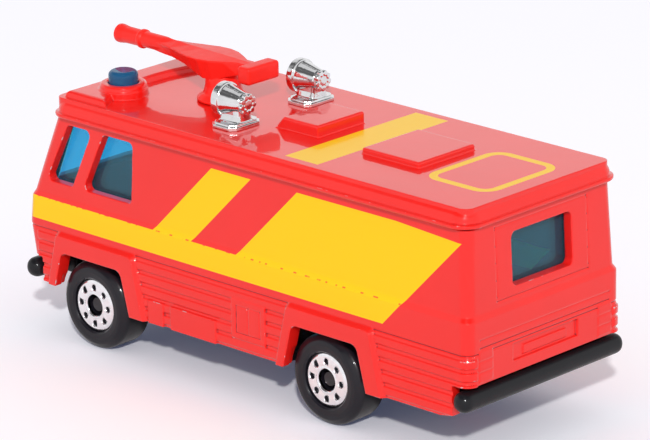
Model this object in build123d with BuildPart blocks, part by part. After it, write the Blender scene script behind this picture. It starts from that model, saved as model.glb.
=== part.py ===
"""Pocket-size die-cast toy of an airport foam fire truck.

Millimetres. X points forward, Y to the vehicle's left, Z up. The origin is on
the ground, midway between the two bumpers.
"""

from build123d import *
import os

os.makedirs("parts", exist_ok=True)

# Overall stance
front_overhang = 12.3
wheelbase = 44.1
rear_overhang = 26.2
overall_length = front_overhang + wheelbase + rear_overhang
nose_x = overall_length / 2
tail_x = -overall_length / 2
front_axle_x = nose_x - front_overhang
rear_axle_x = front_axle_x - wheelbase

# Die-cast body shell: widths, and how far its ends stand inside the bumpers
wall = 1.4
corner_radius = 1.5
belt_width = 29.9
waist_width = belt_width - 0.8
eave_width = belt_width - 1.8
body_tail_x = tail_x + 0.3
sill_nose_x = nose_x - 1.9
body_nose_x = nose_x - 0.25
belt_nose_x = nose_x - 0.7
waist_tail_x = tail_x + 0.65
waist_nose_x = nose_x - 1.0
eave_tail_x = tail_x + 1.2
eave_nose_x = nose_x - 5.7

# Heights of the shell, from the sill up
sill_z = 7.0
nose_break_z = sill_z + 9.3
belt_z = sill_z + 13.2
belt_chamfer = 0.7
waist_z = belt_z + belt_chamfer
eave_z = waist_z + 11.7
roof_z = eave_z + 2.5

# Wheels and axles
tyre_radius = 6.25
tyre_width = 5.5
tyre_inset = 0.65
tyre_outer_y = belt_width / 2 - tyre_inset
tyre_shoulder = 1.0
shoulder_bulge = tyre_shoulder * (1 - 0.5**0.5)
disc_radius = 3.5
disc_recess = 0.35
dish_radius = 1.75
dish_depth = 0.3
axle_radius = 0.75
axle_head_radius = 0.95
axle_head_thickness = 0.5
head_pocket_radius = axle_head_radius + 0.45
head_pocket_depth = axle_head_thickness + 0.3
bore_clearance = 0.05
wheel_side_gap = 0.15

# Roof cap with its thin lip
cap_width = eave_width + 1.4
cap_tail_x = eave_tail_x - 0.5
cap_nose_x = eave_nose_x + 0.05
cap_corner_radius = 2.6
cap_edge_radius = 1.9
lip_overhang = 0.45
lip_thickness = 0.55
lip_edge_radius = 0.2
groove_depth = 0.25
groove_height = 0.35

# Raised brow over the windscreen
brow_height = 0.9
brow_width = cap_width - 2.9
brow_nose_x = cap_nose_x - 1.5
brow_side_x = brow_nose_x - 7.95
brow_centre_x = brow_nose_x - 4.0
brow_edge_radius = 0.7

# Roof hatches: centre x, length, width, height, nose slope
front_hatch_x = nose_x - 42.5
front_hatch_length = 7.8
front_hatch_width = 9.0
front_hatch_height = 1.7
front_hatch_slope = 1.5
rear_hatch_x = tail_x + 22.3
rear_hatch_length = 10.2
rear_hatch_width = 11.0
rear_hatch_height = 0.85
hatch_corner_radius = 0.4
hatch_edge_radius = 0.3

# Beacon and its moulded ring
beacon_x = nose_x - 12.4
beacon_y = eave_width / 2 - 6.75
beacon_radius = 2.05
beacon_height = 3.5
ring_foot_radius = beacon_radius + 1.35
ring_foot_height = 1.1
ring_radius = beacon_radius + 1.2
ring_height = 1.85
ring_edge_radius = 0.45

# Cab windows: x at sill and head on the side wall, and heights
window_sill_z = waist_z + 1.95
window_head_z = eave_z - 1.15
window_corner_radius = 0.8
door_window_nose = (nose_x - 4.05, nose_x - 8.25)
door_window_tail = (nose_x - 9.15, nose_x - 12.95)
quarter_window_nose = (nose_x - 11.25, nose_x - 15.25)
quarter_window_tail = (nose_x - 20.75, nose_x - 20.95)
screen_width = eave_width - 3.0
screen_sill_z = window_sill_z - 0.3
screen_head_z = window_head_z + 0.3
rear_window_width = 11.6
rear_window_sill_z = waist_z + 2.1
rear_window_head_z = eave_z - 2.4

# Wheel arches and their flares, set back from the axles
arch_setback = 1.15
arch_foot_half = tyre_radius + 1.2
arch_head_half = 5.8
arch_head_z = 2 * tyre_radius + 0.75
arch_corner_radius = 1.2
flare_setback = arch_setback + 0.65
flare_foot_half = arch_foot_half + 2.55
flare_head_half = arch_head_half + 2.0
flare_head_z = arch_head_z + 2.9
flare_proud = 0.75
flare_taper = 35.0
scoop_gap = 0.35
scoop_side_gap = 0.15
tail_skirt_rise = 0.4
tail_skirt_rise_length = 2.2
nose_skirt_rise = 1.1

# Relief on the lower sides
rib_pitch = 1.68
rib_count = 5
rib_height = 1.05
rib_proud = 0.25
rib_top_z = sill_z + 8.25
rib_nose_x = sill_nose_x - 0.6
rib_tail_y = belt_width / 2 - 1.7
belt_line_z = rib_top_z + 0.6
belt_line_depth = 0.2
belt_line_height = 0.25
locker_nose_x = rear_axle_x + 16.05
locker_length = 6.2
locker_head_z = rib_top_z - 0.9
locker_foot_z = sill_z + 1.8
locker_proud = 0.4
locker_door_inset = 0.75
door_line = 0.25
door_line_depth = 0.2
step_small_nose_x = front_axle_x - 12.05
step_small_length = 2.9
step_large_nose_x = front_axle_x - 16.35
step_large_length = 8.6
step_head_z = sill_z + 3.3
step_proud = 0.4

# Tail relief
tail_line_zs = (belt_z - 2.6, belt_z - 3.7)
tail_line_width = belt_width - 4.5
lamp_width = 2.5
lamp_foot_z = sill_z + 5.0
lamp_head_z = sill_z + 9.1
lamp_y = belt_width / 2 - 3.35
lamp_proud = 0.1
lamp_cell_count = 3
lamp_gap = 0.35
recess_width = 12.6
recess_foot_z = sill_z + 6.2
recess_head_z = recess_foot_z + 2.3
recess_depth = 0.4
plate_width = 8.4
plate_height = 1.2
plate_proud = 0.25
rear_door_width = 18.0
rear_door_foot_z = waist_z + 0.7
rear_door_head_z = eave_z - 0.9

# Nose relief
headlamp_radius = 1.3
headlamp_depth = 0.35
headlamp_ys = (belt_width / 2 - 6.9, belt_width / 2 - 3.9)
headlamp_z = sill_z + 7.0
lamp_bezel_length = 6.2
lamp_bezel_height = 3.4
lamp_bezel_proud = 0.15
grille_width = 11.6
grille_height = 3.4
grille_depth = 0.6
grille_bar_count = 3
grille_bar_height = 0.45

# Water cannon, its heights from the barrel's axis
cannon_x = nose_x - 24.3
pedestal_radius = 2.6
pedestal_foot_radius = 3.3
pedestal_foot_height = 0.4
pedestal_head_radius = 3.0
pedestal_waist_height = 1.2
stem_radius = 1.45
swivel_clearance = 0.05
stem_flange_radius = 2.1
stem_flange_thickness = 0.6
barrel_z = roof_z + 5.65
barrel_radius = 1.15
barrel_reach = 20.05
collar_length = 0.5
collar_radius = barrel_radius + 0.22
collar_setback = 4.5
nozzle_tip_x = cannon_x + barrel_reach
nozzle_length = 1.2
nozzle_radius = barrel_radius + 0.17
nozzle_bore_radius = 0.8
nozzle_bore_depth = 2.0
deck_foot_z = barrel_z - 1.65
deck_edge_z = barrel_z - 0.25
deck_ridge_z = barrel_z + 1.1
deck_ridge_half = 0.3
# Columns: distance ahead of the swivel, half width of the deck
deck_plan = (
    (10.0, 1.15),
    (7.5, 2.0),
    (4.5, 2.7),
    (1.5, 3.2),
    (-0.2, 2.9),
    (-2.0, 1.7),
    (-3.5, 1.2),
    (-5.8, 1.1),
)
handle_nose_x = cannon_x - 5.8
handle_length = 2.2
handle_width = 5.9
handle_foot_z = barrel_z - 1.35
handle_top_z = barrel_z + 0.85
handle_edge_radius = 0.3

# Roof spotlights
spotlight_x = cannon_x - 9.6
spotlight_y = eave_width / 2 - 6.85
spotlight_base_length = 4.6
spotlight_base_width = 6.0
spotlight_base_height = 0.8
spotlight_base_chamfer = 0.7
spotlight_axis_z = roof_z + 3.3
spotlight_nose_x = spotlight_x + 2.5
spotlight_tail_x = spotlight_x - 2.6
rim_radius = 2.4
rim_length = 1.1
drum_nose_radius = rim_radius - 0.25
drum_tail_radius = 1.35
tail_cap_radius = drum_tail_radius + 0.15
tail_cap_length = 0.9
neck_radius = 1.5
peg_radius = 0.7
peg_length = wall + 0.2
peg_clearance = 0.03

# Plastic base with the bumpers: a flange inside the skirts and a deeper spine
flange_foot_z = sill_z - 0.3
flange_top_z = sill_z + 2.6
flange_tail_x = tail_x + 4.6
flange_nose_x = nose_x - 5.2
base_floor = 1.4
base_rim = 1.1
base_gap = 0.15
spine_foot_z = tyre_radius - 1.45
spine_tail_x = tail_x + 8.2
spine_nose_x = nose_x - 6.5
spine_corner_radius = 1.5
well_half = tyre_radius + 1.15
axle_block_length = 4.0
bumper_foot_z = sill_z + 1.2
bumper_height = 2.8
bumper_width = belt_width + 1.7
bumper_depth = 2.8
bumper_edge_radius = 1.3
bumper_gap = 0.6
web_foot_z = bumper_foot_z + 0.5
web_top_z = bumper_foot_z + 2.7
web_width = belt_width - 7.2
web_inset = 0.9

# Rivet posts of the shell, spun over below the base
post_xs = (front_axle_x - 20.4, spine_tail_x + 4.2)
post_radius = 1.6
post_shoulder_radius = 2.3
post_clearance = 0.05
post_head_radius = 2.3
post_head_thickness = 0.6
post_head_recess = 0.2

# Blue glazing insert
glass_gap = 0.1
glass_thickness = 0.8
glass_foot_z = window_sill_z - 1.1
glass_cab_tail_x = quarter_window_tail[0] - 2.3
glass_rear_nose_x = body_tail_x + 3.8
glass_strip_width = 17.0


def rounded_plan(tail, nose, width, radius):
    """Rounded rectangle from tail to nose, centred on the X axis."""
    with BuildSketch() as plan:
        with Locations(((tail + nose) / 2, 0)):
            RectangleRounded(nose - tail, width, radius)
    return plan.sketch


def body_form(inset, foot_z, top_z):
    """Body outline below the roof cap, moved inwards by inset."""
    # Columns: height, tail x, nose x, width
    rows = (
        (sill_z, body_tail_x, sill_nose_x, belt_width),
        (nose_break_z, body_tail_x, body_nose_x, belt_width),
        (belt_z, body_tail_x, belt_nose_x, belt_width),
        (waist_z, waist_tail_x, waist_nose_x, waist_width),
        (eave_z, eave_tail_x, eave_nose_x, eave_width),
        (roof_z, eave_tail_x, eave_nose_x, eave_width),
    )
    radius = max(corner_radius - inset, 0.4)
    with BuildPart() as form:
        for low, high in zip(rows, rows[1:]):
            for z, tail, nose, width in (low, high):
                with BuildSketch(Plane.XY.offset(z)):
                    add(rounded_plan(tail + inset, nose - inset, width - 2 * inset, radius))
            loft(ruled=True)
        with BuildSketch(Plane.XY.offset(top_z)):
            Rectangle(2 * overall_length, 2 * belt_width)
        extrude(amount=overall_length, mode=Mode.SUBTRACT)
        with BuildSketch(Plane.XY.offset(foot_z)):
            Rectangle(2 * overall_length, 2 * belt_width)
        extrude(amount=-overall_length, mode=Mode.SUBTRACT)
    return form.part


def side_outline(points, radius):
    """Closed outline of x, z points with rounded corners."""
    with BuildSketch() as outline:
        with BuildLine():
            Polyline(*points, close=True)
        make_face()
        fillet(outline.vertices(), radius)
    return outline.sketch


def arch_outline(centre_x, foot_half, head_half, head_z, radius):
    """Wheel arch outline that runs on below the sill."""
    foot_z = sill_z - 3.0
    low_half = foot_half + (foot_half - head_half) / (head_z - sill_z) * (sill_z - foot_z)
    points = (
        (centre_x - low_half, foot_z),
        (centre_x + low_half, foot_z),
        (centre_x + head_half, head_z),
        (centre_x - head_half, head_z),
    )
    return side_outline(points, radius)


def window_outline(nose, tail):
    """Cab window outline from its x at sill and head, nose side and tail side."""
    points = (
        (nose[0], window_sill_z),
        (nose[1], window_head_z),
        (tail[1], window_head_z),
        (tail[0], window_sill_z),
    )
    return side_outline(points, window_corner_radius)


def axle_places():
    """Both axle lines as x positions."""
    return (front_axle_x, rear_axle_x)


def line_ring(foot_z, height, depth):
    """Thin ring that engraves a level line into the lower body."""
    with BuildPart() as ring:
        with BuildSketch(Plane.XY.offset(foot_z)):
            Rectangle(2 * overall_length, 2 * belt_width)
            inner_radius = corner_radius - depth
            inner_width = belt_width - 2 * depth
            add(
                rounded_plan(body_tail_x + depth, body_nose_x - depth, inner_width, inner_radius),
                mode=Mode.SUBTRACT,
            )
        extrude(amount=height)
    return ring.part


def frame_line(width, height, line):
    """Outline of a door as a thin rectangular frame."""
    with BuildSketch() as frame:
        Rectangle(width, height)
        Rectangle(width - 2 * line, height - 2 * line, mode=Mode.SUBTRACT)
    return frame.sketch


outer_form = body_form(0, sill_z, roof_z)
inner_form = body_form(wall, sill_z - 1, roof_z - wall)
right_wall = Plane.XZ.offset(belt_width / 2)
rear_wall = Plane(
    origin=(waist_tail_x, 0, waist_z),
    x_dir=(0, -1, 0),
    z_dir=(waist_z - eave_z, 0, eave_tail_x - waist_tail_x),
)

# Relief of the right side, mirrored to the left later
with BuildPart() as side_relief:
    for axle_x in axle_places():
        with BuildSketch(right_wall):
            flare_x = axle_x - flare_setback
            add(arch_outline(flare_x, flare_foot_half, flare_head_half, flare_head_z, arch_corner_radius))
        extrude(amount=flare_proud, taper=flare_taper)
    # Locker with its pair of doors engraved
    locker_x = locker_nose_x - locker_length / 2
    locker_z = (locker_head_z + locker_foot_z) / 2
    locker_height = locker_head_z - locker_foot_z
    doors_length = locker_length - 2 * locker_door_inset
    doors_height = locker_height - 2 * locker_door_inset
    with BuildSketch(right_wall):
        with Locations((locker_x, locker_z)):
            Rectangle(locker_length, locker_height)
    extrude(amount=locker_proud)
    with BuildSketch(right_wall.offset(locker_proud - door_line_depth)):
        with Locations((locker_x, locker_z)):
            add(frame_line(doors_length, doors_height, door_line))
            Rectangle(door_line, doors_height)
    extrude(amount=locker_proud, mode=Mode.SUBTRACT)
    # Step panels down to the sill
    for step_nose_x, step_length in (
        (step_small_nose_x, step_small_length),
        (step_large_nose_x, step_large_length),
    ):
        with BuildSketch(right_wall):
            with Locations((step_nose_x - step_length / 2, (step_head_z + sill_z) / 2 - 1)):
                Rectangle(step_length, step_head_z - sill_z + 2)
        extrude(amount=step_proud)
    with BuildSketch(Plane.XY.offset(sill_z)):
        Rectangle(2 * overall_length, 2 * belt_width)
    extrude(amount=-overall_length, mode=Mode.SUBTRACT)

# Ribs round both sides and the rear corners
with BuildPart() as ribs:
    for row in range(rib_count):
        with BuildSketch(Plane.XY.offset(rib_top_z - rib_height - row * rib_pitch)):
            add(
                rounded_plan(
                    body_tail_x - rib_proud,
                    body_nose_x,
                    belt_width + 2 * rib_proud,
                    corner_radius + rib_proud,
                )
            )
        extrude(amount=rib_height)
    with BuildSketch(Plane.XY):
        with Locations((rib_nose_x, 0)):
            Rectangle(2 * overall_length, 2 * belt_width, align=(Align.MIN, Align.CENTER))
        with Locations((body_tail_x + wall / 2, 0)):
            Rectangle(overall_length, 2 * rib_tail_y, align=(Align.MAX, Align.CENTER))
        with Locations(((body_tail_x + body_nose_x) / 2, 0)):
            Rectangle(body_nose_x - body_tail_x - wall, belt_width - wall)
    extrude(amount=eave_z, mode=Mode.SUBTRACT)
    with BuildSketch(Plane.XY.offset(sill_z)):
        Rectangle(2 * overall_length, 2 * belt_width)
    extrude(amount=-overall_length, mode=Mode.SUBTRACT)

# Tail relief: the two lamp clusters
with BuildPart() as tail_relief:
    tail_wall = Plane(origin=(body_tail_x, 0, 0), x_dir=(0, -1, 0), z_dir=(-1, 0, 0))
    cell_pitch = (lamp_head_z - lamp_foot_z + lamp_gap) / lamp_cell_count
    for side in (1, -1):
        for cell in range(lamp_cell_count):
            cell_z = lamp_foot_z + cell * cell_pitch
            with BuildSketch(tail_wall.offset(-wall / 2)):
                with Locations((side * lamp_y, cell_z)):
                    Rectangle(lamp_width, cell_pitch - lamp_gap, align=(Align.CENTER, Align.MIN))
            extrude(amount=wall / 2 + lamp_proud)

# Roof cap: rounded shoulder over a thin lip
with BuildPart() as roof_cap:
    with BuildSketch(Plane.XY.offset(eave_z)):
        add(rounded_plan(cap_tail_x, cap_nose_x, cap_width, cap_corner_radius))
    extrude(amount=roof_z - eave_z)
    fillet(roof_cap.faces().sort_by(Axis.Z)[-1].edges(), cap_edge_radius)
    with BuildSketch(Plane.XY.offset(eave_z)):
        add(
            rounded_plan(
                cap_tail_x - lip_overhang,
                cap_nose_x + lip_overhang,
                cap_width + 2 * lip_overhang,
                cap_corner_radius + lip_overhang,
            )
        )
    extrude(amount=lip_thickness)
    flat_faces = roof_cap.faces().filter_by(Axis.Z)
    lip_faces = flat_faces.filter_by(lambda f: abs(f.center().Z - eave_z) < lip_thickness / 2)
    fillet(lip_faces.sort_by(SortBy.AREA)[-1].outer_wire().edges(), lip_edge_radius)

# Raised brow over the windscreen, hollowed in a bow at its rear edge
with BuildPart() as brow:
    with BuildSketch(Plane.XY.offset(roof_z - cap_edge_radius)):
        with BuildLine():
            Polyline(
                (brow_side_x, brow_width / 2),
                (brow_nose_x, brow_width / 2),
                (brow_nose_x, -brow_width / 2),
                (brow_side_x, -brow_width / 2),
            )
            ThreePointArc(
                (brow_side_x, -brow_width / 2),
                (brow_centre_x, 0),
                (brow_side_x, brow_width / 2),
            )
        make_face()
    extrude(amount=brow_height + cap_edge_radius)
    fillet(brow.faces().sort_by(Axis.Z)[-1].edges(), brow_edge_radius)

# Both roof hatches
with BuildPart() as hatches:
    with BuildSketch(Plane.XZ):
        with BuildLine():
            Polyline(
                (front_hatch_x - front_hatch_length / 2, roof_z),
                (front_hatch_x + front_hatch_length / 2, roof_z),
                (front_hatch_x + front_hatch_length / 2 - front_hatch_slope, roof_z + front_hatch_height),
                (front_hatch_x - front_hatch_length / 2, roof_z + front_hatch_height),
                close=True,
            )
        make_face()
    extrude(amount=front_hatch_width / 2, both=True)
    with BuildSketch(Plane.XY.offset(roof_z)):
        with Locations((rear_hatch_x, 0)):
            RectangleRounded(rear_hatch_length, rear_hatch_width, hatch_corner_radius)
    extrude(amount=rear_hatch_height)
    for top_z in (roof_z + front_hatch_height, roof_z + rear_hatch_height):
        level_faces = hatches.faces().filter_by(Axis.Z)
        top = level_faces.filter_by(lambda f: abs(f.center().Z - top_z) < hatch_edge_radius)
        fillet(top.edges(), hatch_edge_radius)

# Moulded ring around the beacon
with BuildPart() as beacon_ring:
    with BuildSketch(Plane.XY.offset(roof_z)):
        with Locations((beacon_x, beacon_y)):
            Circle(ring_radius)
    extrude(amount=ring_height)
    fillet(beacon_ring.faces().sort_by(Axis.Z)[-1].edges(), ring_edge_radius)
    with BuildSketch(Plane.XY.offset(roof_z)):
        with Locations((beacon_x, beacon_y)):
            Circle(ring_foot_radius)
    extrude(amount=ring_foot_height)

# Nose relief: bezels with round headlamps either side of a grille, on the leaning lower nose
nose_slope = (body_nose_x - sill_nose_x) / (nose_break_z - sill_z)
nose_wall = Plane(
    origin=(sill_nose_x + nose_slope * (headlamp_z - sill_z), 0, headlamp_z),
    x_dir=(0, 1, 0),
    z_dir=(1, 0, -nose_slope),
)
with BuildPart() as nose_relief:
    bezel_y = sum(headlamp_ys) / len(headlamp_ys)
    with BuildSketch(nose_wall.offset(-wall)):
        with Locations((bezel_y, 0), (-bezel_y, 0)):
            Rectangle(lamp_bezel_length, lamp_bezel_height)
        Rectangle(grille_width, grille_height)
    extrude(amount=wall + lamp_bezel_proud)
    with BuildSketch(nose_wall.offset(lamp_bezel_proud - headlamp_depth)):
        with Locations(*((side * y, 0) for side in (1, -1) for y in headlamp_ys)):
            Circle(headlamp_radius)
    extrude(amount=2 * headlamp_depth, mode=Mode.SUBTRACT)
    slot_pitch = grille_height / (grille_bar_count + 1)
    with BuildSketch(nose_wall.offset(lamp_bezel_proud - grille_depth)):
        for slot in range(grille_bar_count + 1):
            with Locations((0, (slot + 0.5) * slot_pitch - grille_height / 2)):
                Rectangle(grille_width - 2 * grille_bar_height, slot_pitch - grille_bar_height)
    extrude(amount=2 * grille_depth, mode=Mode.SUBTRACT)

with BuildPart() as body_shell:
    add(outer_form)
    # Engraved lines round the lower body, under the lip and on the tail
    add(line_ring(belt_line_z - belt_line_height / 2, belt_line_height, belt_line_depth), mode=Mode.SUBTRACT)
    with BuildSketch(Plane.XY.offset(eave_z - groove_height)):
        Rectangle(2 * overall_length, 2 * belt_width)
        groove_radius = corner_radius - groove_depth
        add(
            rounded_plan(
                eave_tail_x + groove_depth,
                eave_nose_x - groove_depth,
                eave_width - 2 * groove_depth,
                groove_radius,
            ),
            mode=Mode.SUBTRACT,
        )
    extrude(amount=groove_height, mode=Mode.SUBTRACT)
    add(side_relief.part)
    mirror(side_relief.part, about=Plane.XZ)
    add(ribs.part)
    add(tail_relief.part)
    add(nose_relief.part)
    with BuildSketch(tail_wall.offset(-belt_line_depth)):
        with Locations(*((0, z) for z in tail_line_zs)):
            Rectangle(tail_line_width, belt_line_height)
    extrude(amount=overall_length, mode=Mode.SUBTRACT)
    with BuildSketch(rear_wall.offset(-door_line_depth)):
        with Locations((0, (rear_door_foot_z + rear_door_head_z) / 2 - waist_z)):
            add(frame_line(rear_door_width, rear_door_head_z - rear_door_foot_z, door_line))
    extrude(amount=door_line_depth + wall, mode=Mode.SUBTRACT)
    add(roof_cap.part)
    add(brow.part)
    add(hatches.part)
    add(beacon_ring.part)
    add(inner_form, mode=Mode.SUBTRACT)
    # Plate recess in the tail, with the raised plate in it
    with BuildSketch(tail_wall.offset(-recess_depth)):
        with Locations((0, (recess_foot_z + recess_head_z) / 2)):
            Rectangle(recess_width, recess_head_z - recess_foot_z)
    extrude(amount=overall_length, mode=Mode.SUBTRACT)
    with BuildSketch(tail_wall.offset(-recess_depth)):
        with Locations((0, recess_foot_z + plate_height / 2 + recess_depth)):
            Rectangle(plate_width, plate_height)
    extrude(amount=plate_proud)
    # Ends of the shell step up over the bumpers, and its skirts rise towards them
    end_panel_z = bumper_foot_z + bumper_height + bumper_gap
    tail_end_x = tail_x + bumper_depth + base_gap
    nose_end_x = sill_nose_x - wall
    nose_skirt_z = sill_z + nose_skirt_rise
    # Columns: outermost x, x and height where the skirt starts, x and height where it ends
    for outer_x, end_x, end_z, skirt_x, skirt_z in (
        (2 * tail_x, tail_end_x, sill_z + tail_skirt_rise, tail_end_x + tail_skirt_rise_length, sill_z),
        (2 * nose_x, nose_end_x, nose_skirt_z, front_axle_x, nose_skirt_z),
    ):
        with BuildSketch(Plane.XZ):
            with BuildLine():
                Polyline(
                    (outer_x, end_panel_z),
                    (end_x, end_panel_z),
                    (end_x, end_z),
                    (skirt_x, skirt_z),
                    (skirt_x, sill_z - base_gap),
                    (outer_x, sill_z - base_gap),
                    close=True,
                )
            make_face()
        extrude(amount=belt_width, both=True, mode=Mode.SUBTRACT)
    # Wheel arches through both sides
    for axle_x in axle_places():
        with BuildSketch(Plane.XZ):
            arch_x = axle_x - arch_setback
            add(arch_outline(arch_x, arch_foot_half, arch_head_half, arch_head_z, arch_corner_radius))
        extrude(amount=belt_width, both=True, mode=Mode.SUBTRACT)
        with BuildSketch(Plane.XZ):
            with Locations((axle_x, tyre_radius)):
                Circle(tyre_radius + scoop_gap)
        extrude(amount=tyre_outer_y + scoop_side_gap, both=True, mode=Mode.SUBTRACT)
    # Side windows, windscreen and rear window
    for nose, tail in (
        (door_window_nose, door_window_tail),
        (quarter_window_nose, quarter_window_tail),
    ):
        with BuildSketch(Plane.XZ):
            add(window_outline(nose, tail))
        extrude(amount=belt_width, both=True, mode=Mode.SUBTRACT)
    with BuildSketch(Plane.YZ.offset(eave_nose_x - 3 * wall)):
        with Locations((0, (screen_sill_z + screen_head_z) / 2)):
            RectangleRounded(screen_width, screen_head_z - screen_sill_z, window_corner_radius)
    extrude(amount=overall_length, mode=Mode.SUBTRACT)
    with BuildSketch(Plane.YZ.offset(waist_tail_x + 3 * wall)):
        with Locations((0, (rear_window_sill_z + rear_window_head_z) / 2)):
            RectangleRounded(rear_window_width, rear_window_head_z - rear_window_sill_z, window_corner_radius)
    extrude(amount=-overall_length, mode=Mode.SUBTRACT)
    # Rivet posts: a shoulder seats on the base, and the end is spun over below it
    post_head_z = spine_foot_z + post_head_recess
    with BuildSketch(Plane.XY.offset(flange_top_z)):
        with Locations(*((x, 0) for x in post_xs)):
            Circle(post_shoulder_radius)
    extrude(amount=roof_z - wall / 2 - flange_top_z)
    with BuildSketch(Plane.XY.offset(post_head_z)):
        with Locations(*((x, 0) for x in post_xs)):
            Circle(post_radius)
    extrude(amount=flange_top_z - post_head_z)
    with BuildSketch(Plane.XY.offset(post_head_z)):
        with Locations(*((x, 0) for x in post_xs)):
            Circle(post_head_radius)
    extrude(amount=post_head_thickness)
    # Holes for the beacon, the cannon stem and the spotlight pegs
    with BuildSketch(Plane.XY.offset(roof_z - 2 * wall)):
        with Locations((beacon_x, beacon_y)):
            Circle(beacon_radius + glass_gap)
        with Locations((cannon_x, 0)):
            Circle(stem_radius + swivel_clearance)
        with Locations((spotlight_x, spotlight_y), (spotlight_x, -spotlight_y)):
            Circle(peg_radius + peg_clearance)
    extrude(amount=overall_length, mode=Mode.SUBTRACT)

# Blue glazing insert: cab glass, roof strip, rear glass and the beacon dome in one
glass_outer = body_form(wall + glass_gap, glass_foot_z, roof_z - wall)
glass_inner = body_form(wall + glass_gap + glass_thickness, glass_foot_z - 1, roof_z - wall - glass_thickness)
glass_top_z = roof_z - wall
with BuildPart() as glazing:
    add(glass_outer)
    add(glass_inner, mode=Mode.SUBTRACT)
    with BuildSketch(Plane.XY.offset(glass_foot_z - 1)):
        with Locations(((glass_rear_nose_x + glass_cab_tail_x) / 2, 0)):
            Rectangle(glass_cab_tail_x - glass_rear_nose_x, belt_width)
    extrude(amount=glass_top_z - glass_thickness - glass_foot_z + 1, mode=Mode.SUBTRACT)
    for side in (1, -1):
        with BuildSketch(Plane.XY.offset(glass_foot_z - 1)):
            with Locations(((tail_x + glass_cab_tail_x) / 2, side * (glass_strip_width + belt_width) / 2)):
                Rectangle(glass_cab_tail_x - tail_x, belt_width)
        extrude(amount=overall_length, mode=Mode.SUBTRACT)
    with BuildSketch(Plane.XY.offset(glass_top_z - glass_thickness)):
        with Locations(*((x, 0) for x in post_xs)):
            Circle(post_shoulder_radius + glass_gap)
        with Locations((cannon_x, 0)):
            Circle(stem_flange_radius + 2 * glass_gap)
        with Locations((spotlight_x, spotlight_y), (spotlight_x, -spotlight_y)):
            Circle(peg_radius + 2 * glass_gap)
    extrude(amount=overall_length, mode=Mode.SUBTRACT)
    with BuildSketch(Plane.XY.offset(glass_top_z - glass_thickness)):
        with Locations((beacon_x, beacon_y)):
            Circle(beacon_radius)
    extrude(amount=roof_z + beacon_height - glass_top_z + glass_thickness)
    fillet(glazing.faces().sort_by(Axis.Z)[-1].edges(), beacon_radius / 3)

# Plastic base with both bumpers in one moulding
base_width = belt_width - 2 * wall - 2 * base_gap
spine_width = 2 * (tyre_outer_y - tyre_width - wheel_side_gap)
with BuildPart() as base_plate:
    with BuildSketch(Plane.XY.offset(flange_foot_z)):
        add(rounded_plan(flange_tail_x, flange_nose_x, base_width, corner_radius))
    extrude(amount=flange_top_z - flange_foot_z)
    with BuildSketch(Plane.XY.offset(spine_foot_z)):
        add(rounded_plan(spine_tail_x, spine_nose_x, spine_width, spine_corner_radius))
    extrude(amount=flange_foot_z - spine_foot_z + base_floor)
    # Hollow from above, leaving the rim, the floors and a boss at each post and axle
    for foot_z, tail, nose, width, radius in (
        (flange_foot_z, flange_tail_x, flange_nose_x, base_width, corner_radius),
        (spine_foot_z, spine_tail_x, spine_nose_x, spine_width, spine_corner_radius),
    ):
        with BuildSketch(Plane.XY.offset(foot_z + base_floor)):
            add(rounded_plan(tail + base_rim, nose - base_rim, width - 2 * base_rim, radius - base_rim / 2))
            with Locations(*((x, 0) for x in axle_places())):
                Rectangle(axle_block_length, spine_width, mode=Mode.SUBTRACT)
            with Locations(*((x, 0) for x in post_xs)):
                Circle(post_shoulder_radius + base_rim, mode=Mode.SUBTRACT)
        extrude(amount=flange_top_z - foot_z, mode=Mode.SUBTRACT)
    # Wells for the wheels
    for axle_x in axle_places():
        for side in (1, -1):
            with BuildSketch(Plane.XY.offset(spine_foot_z)):
                with Locations((axle_x, side * (spine_width + base_width) / 2)):
                    Rectangle(2 * well_half, base_width)
            extrude(amount=flange_top_z - spine_foot_z, mode=Mode.SUBTRACT)
    # Bumper bars on their webs
    for outer_x, inward, web_end_x in (
        (tail_x, 1, flange_tail_x + web_inset),
        (nose_x, -1, flange_nose_x - web_inset),
    ):
        bar_x = outer_x + inward * bumper_depth / 2
        with BuildSketch(Plane.XY.offset(bumper_foot_z)):
            with Locations((bar_x, 0)):
                Rectangle(bumper_depth, bumper_width)
        bar = extrude(amount=bumper_height, mode=Mode.PRIVATE)
        bar = bar.fillet(bumper_edge_radius, bar.edges())
        add(bar)
        web_start_x = outer_x + inward * bumper_depth / 2
        with BuildSketch(Plane.XY.offset(web_foot_z)):
            with Locations(((web_start_x + web_end_x) / 2, 0)):
                Rectangle(abs(web_end_x - web_start_x), web_width)
        extrude(amount=web_top_z - web_foot_z)
    # Axle bores and rivet holes
    for axle_x in axle_places():
        with BuildSketch(Plane.XZ):
            with Locations((axle_x, tyre_radius)):
                Circle(axle_radius + bore_clearance)
        extrude(amount=belt_width, both=True, mode=Mode.SUBTRACT)
    with BuildSketch(Plane.XY):
        with Locations(*((x, 0) for x in post_xs)):
            Circle(post_radius + post_clearance)
    extrude(amount=roof_z, mode=Mode.SUBTRACT)
    with BuildSketch(Plane.XY):
        with Locations(*((x, 0) for x in post_xs)):
            Circle(post_head_radius + bore_clearance)
    extrude(amount=post_head_z + post_head_thickness, mode=Mode.SUBTRACT)

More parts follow.
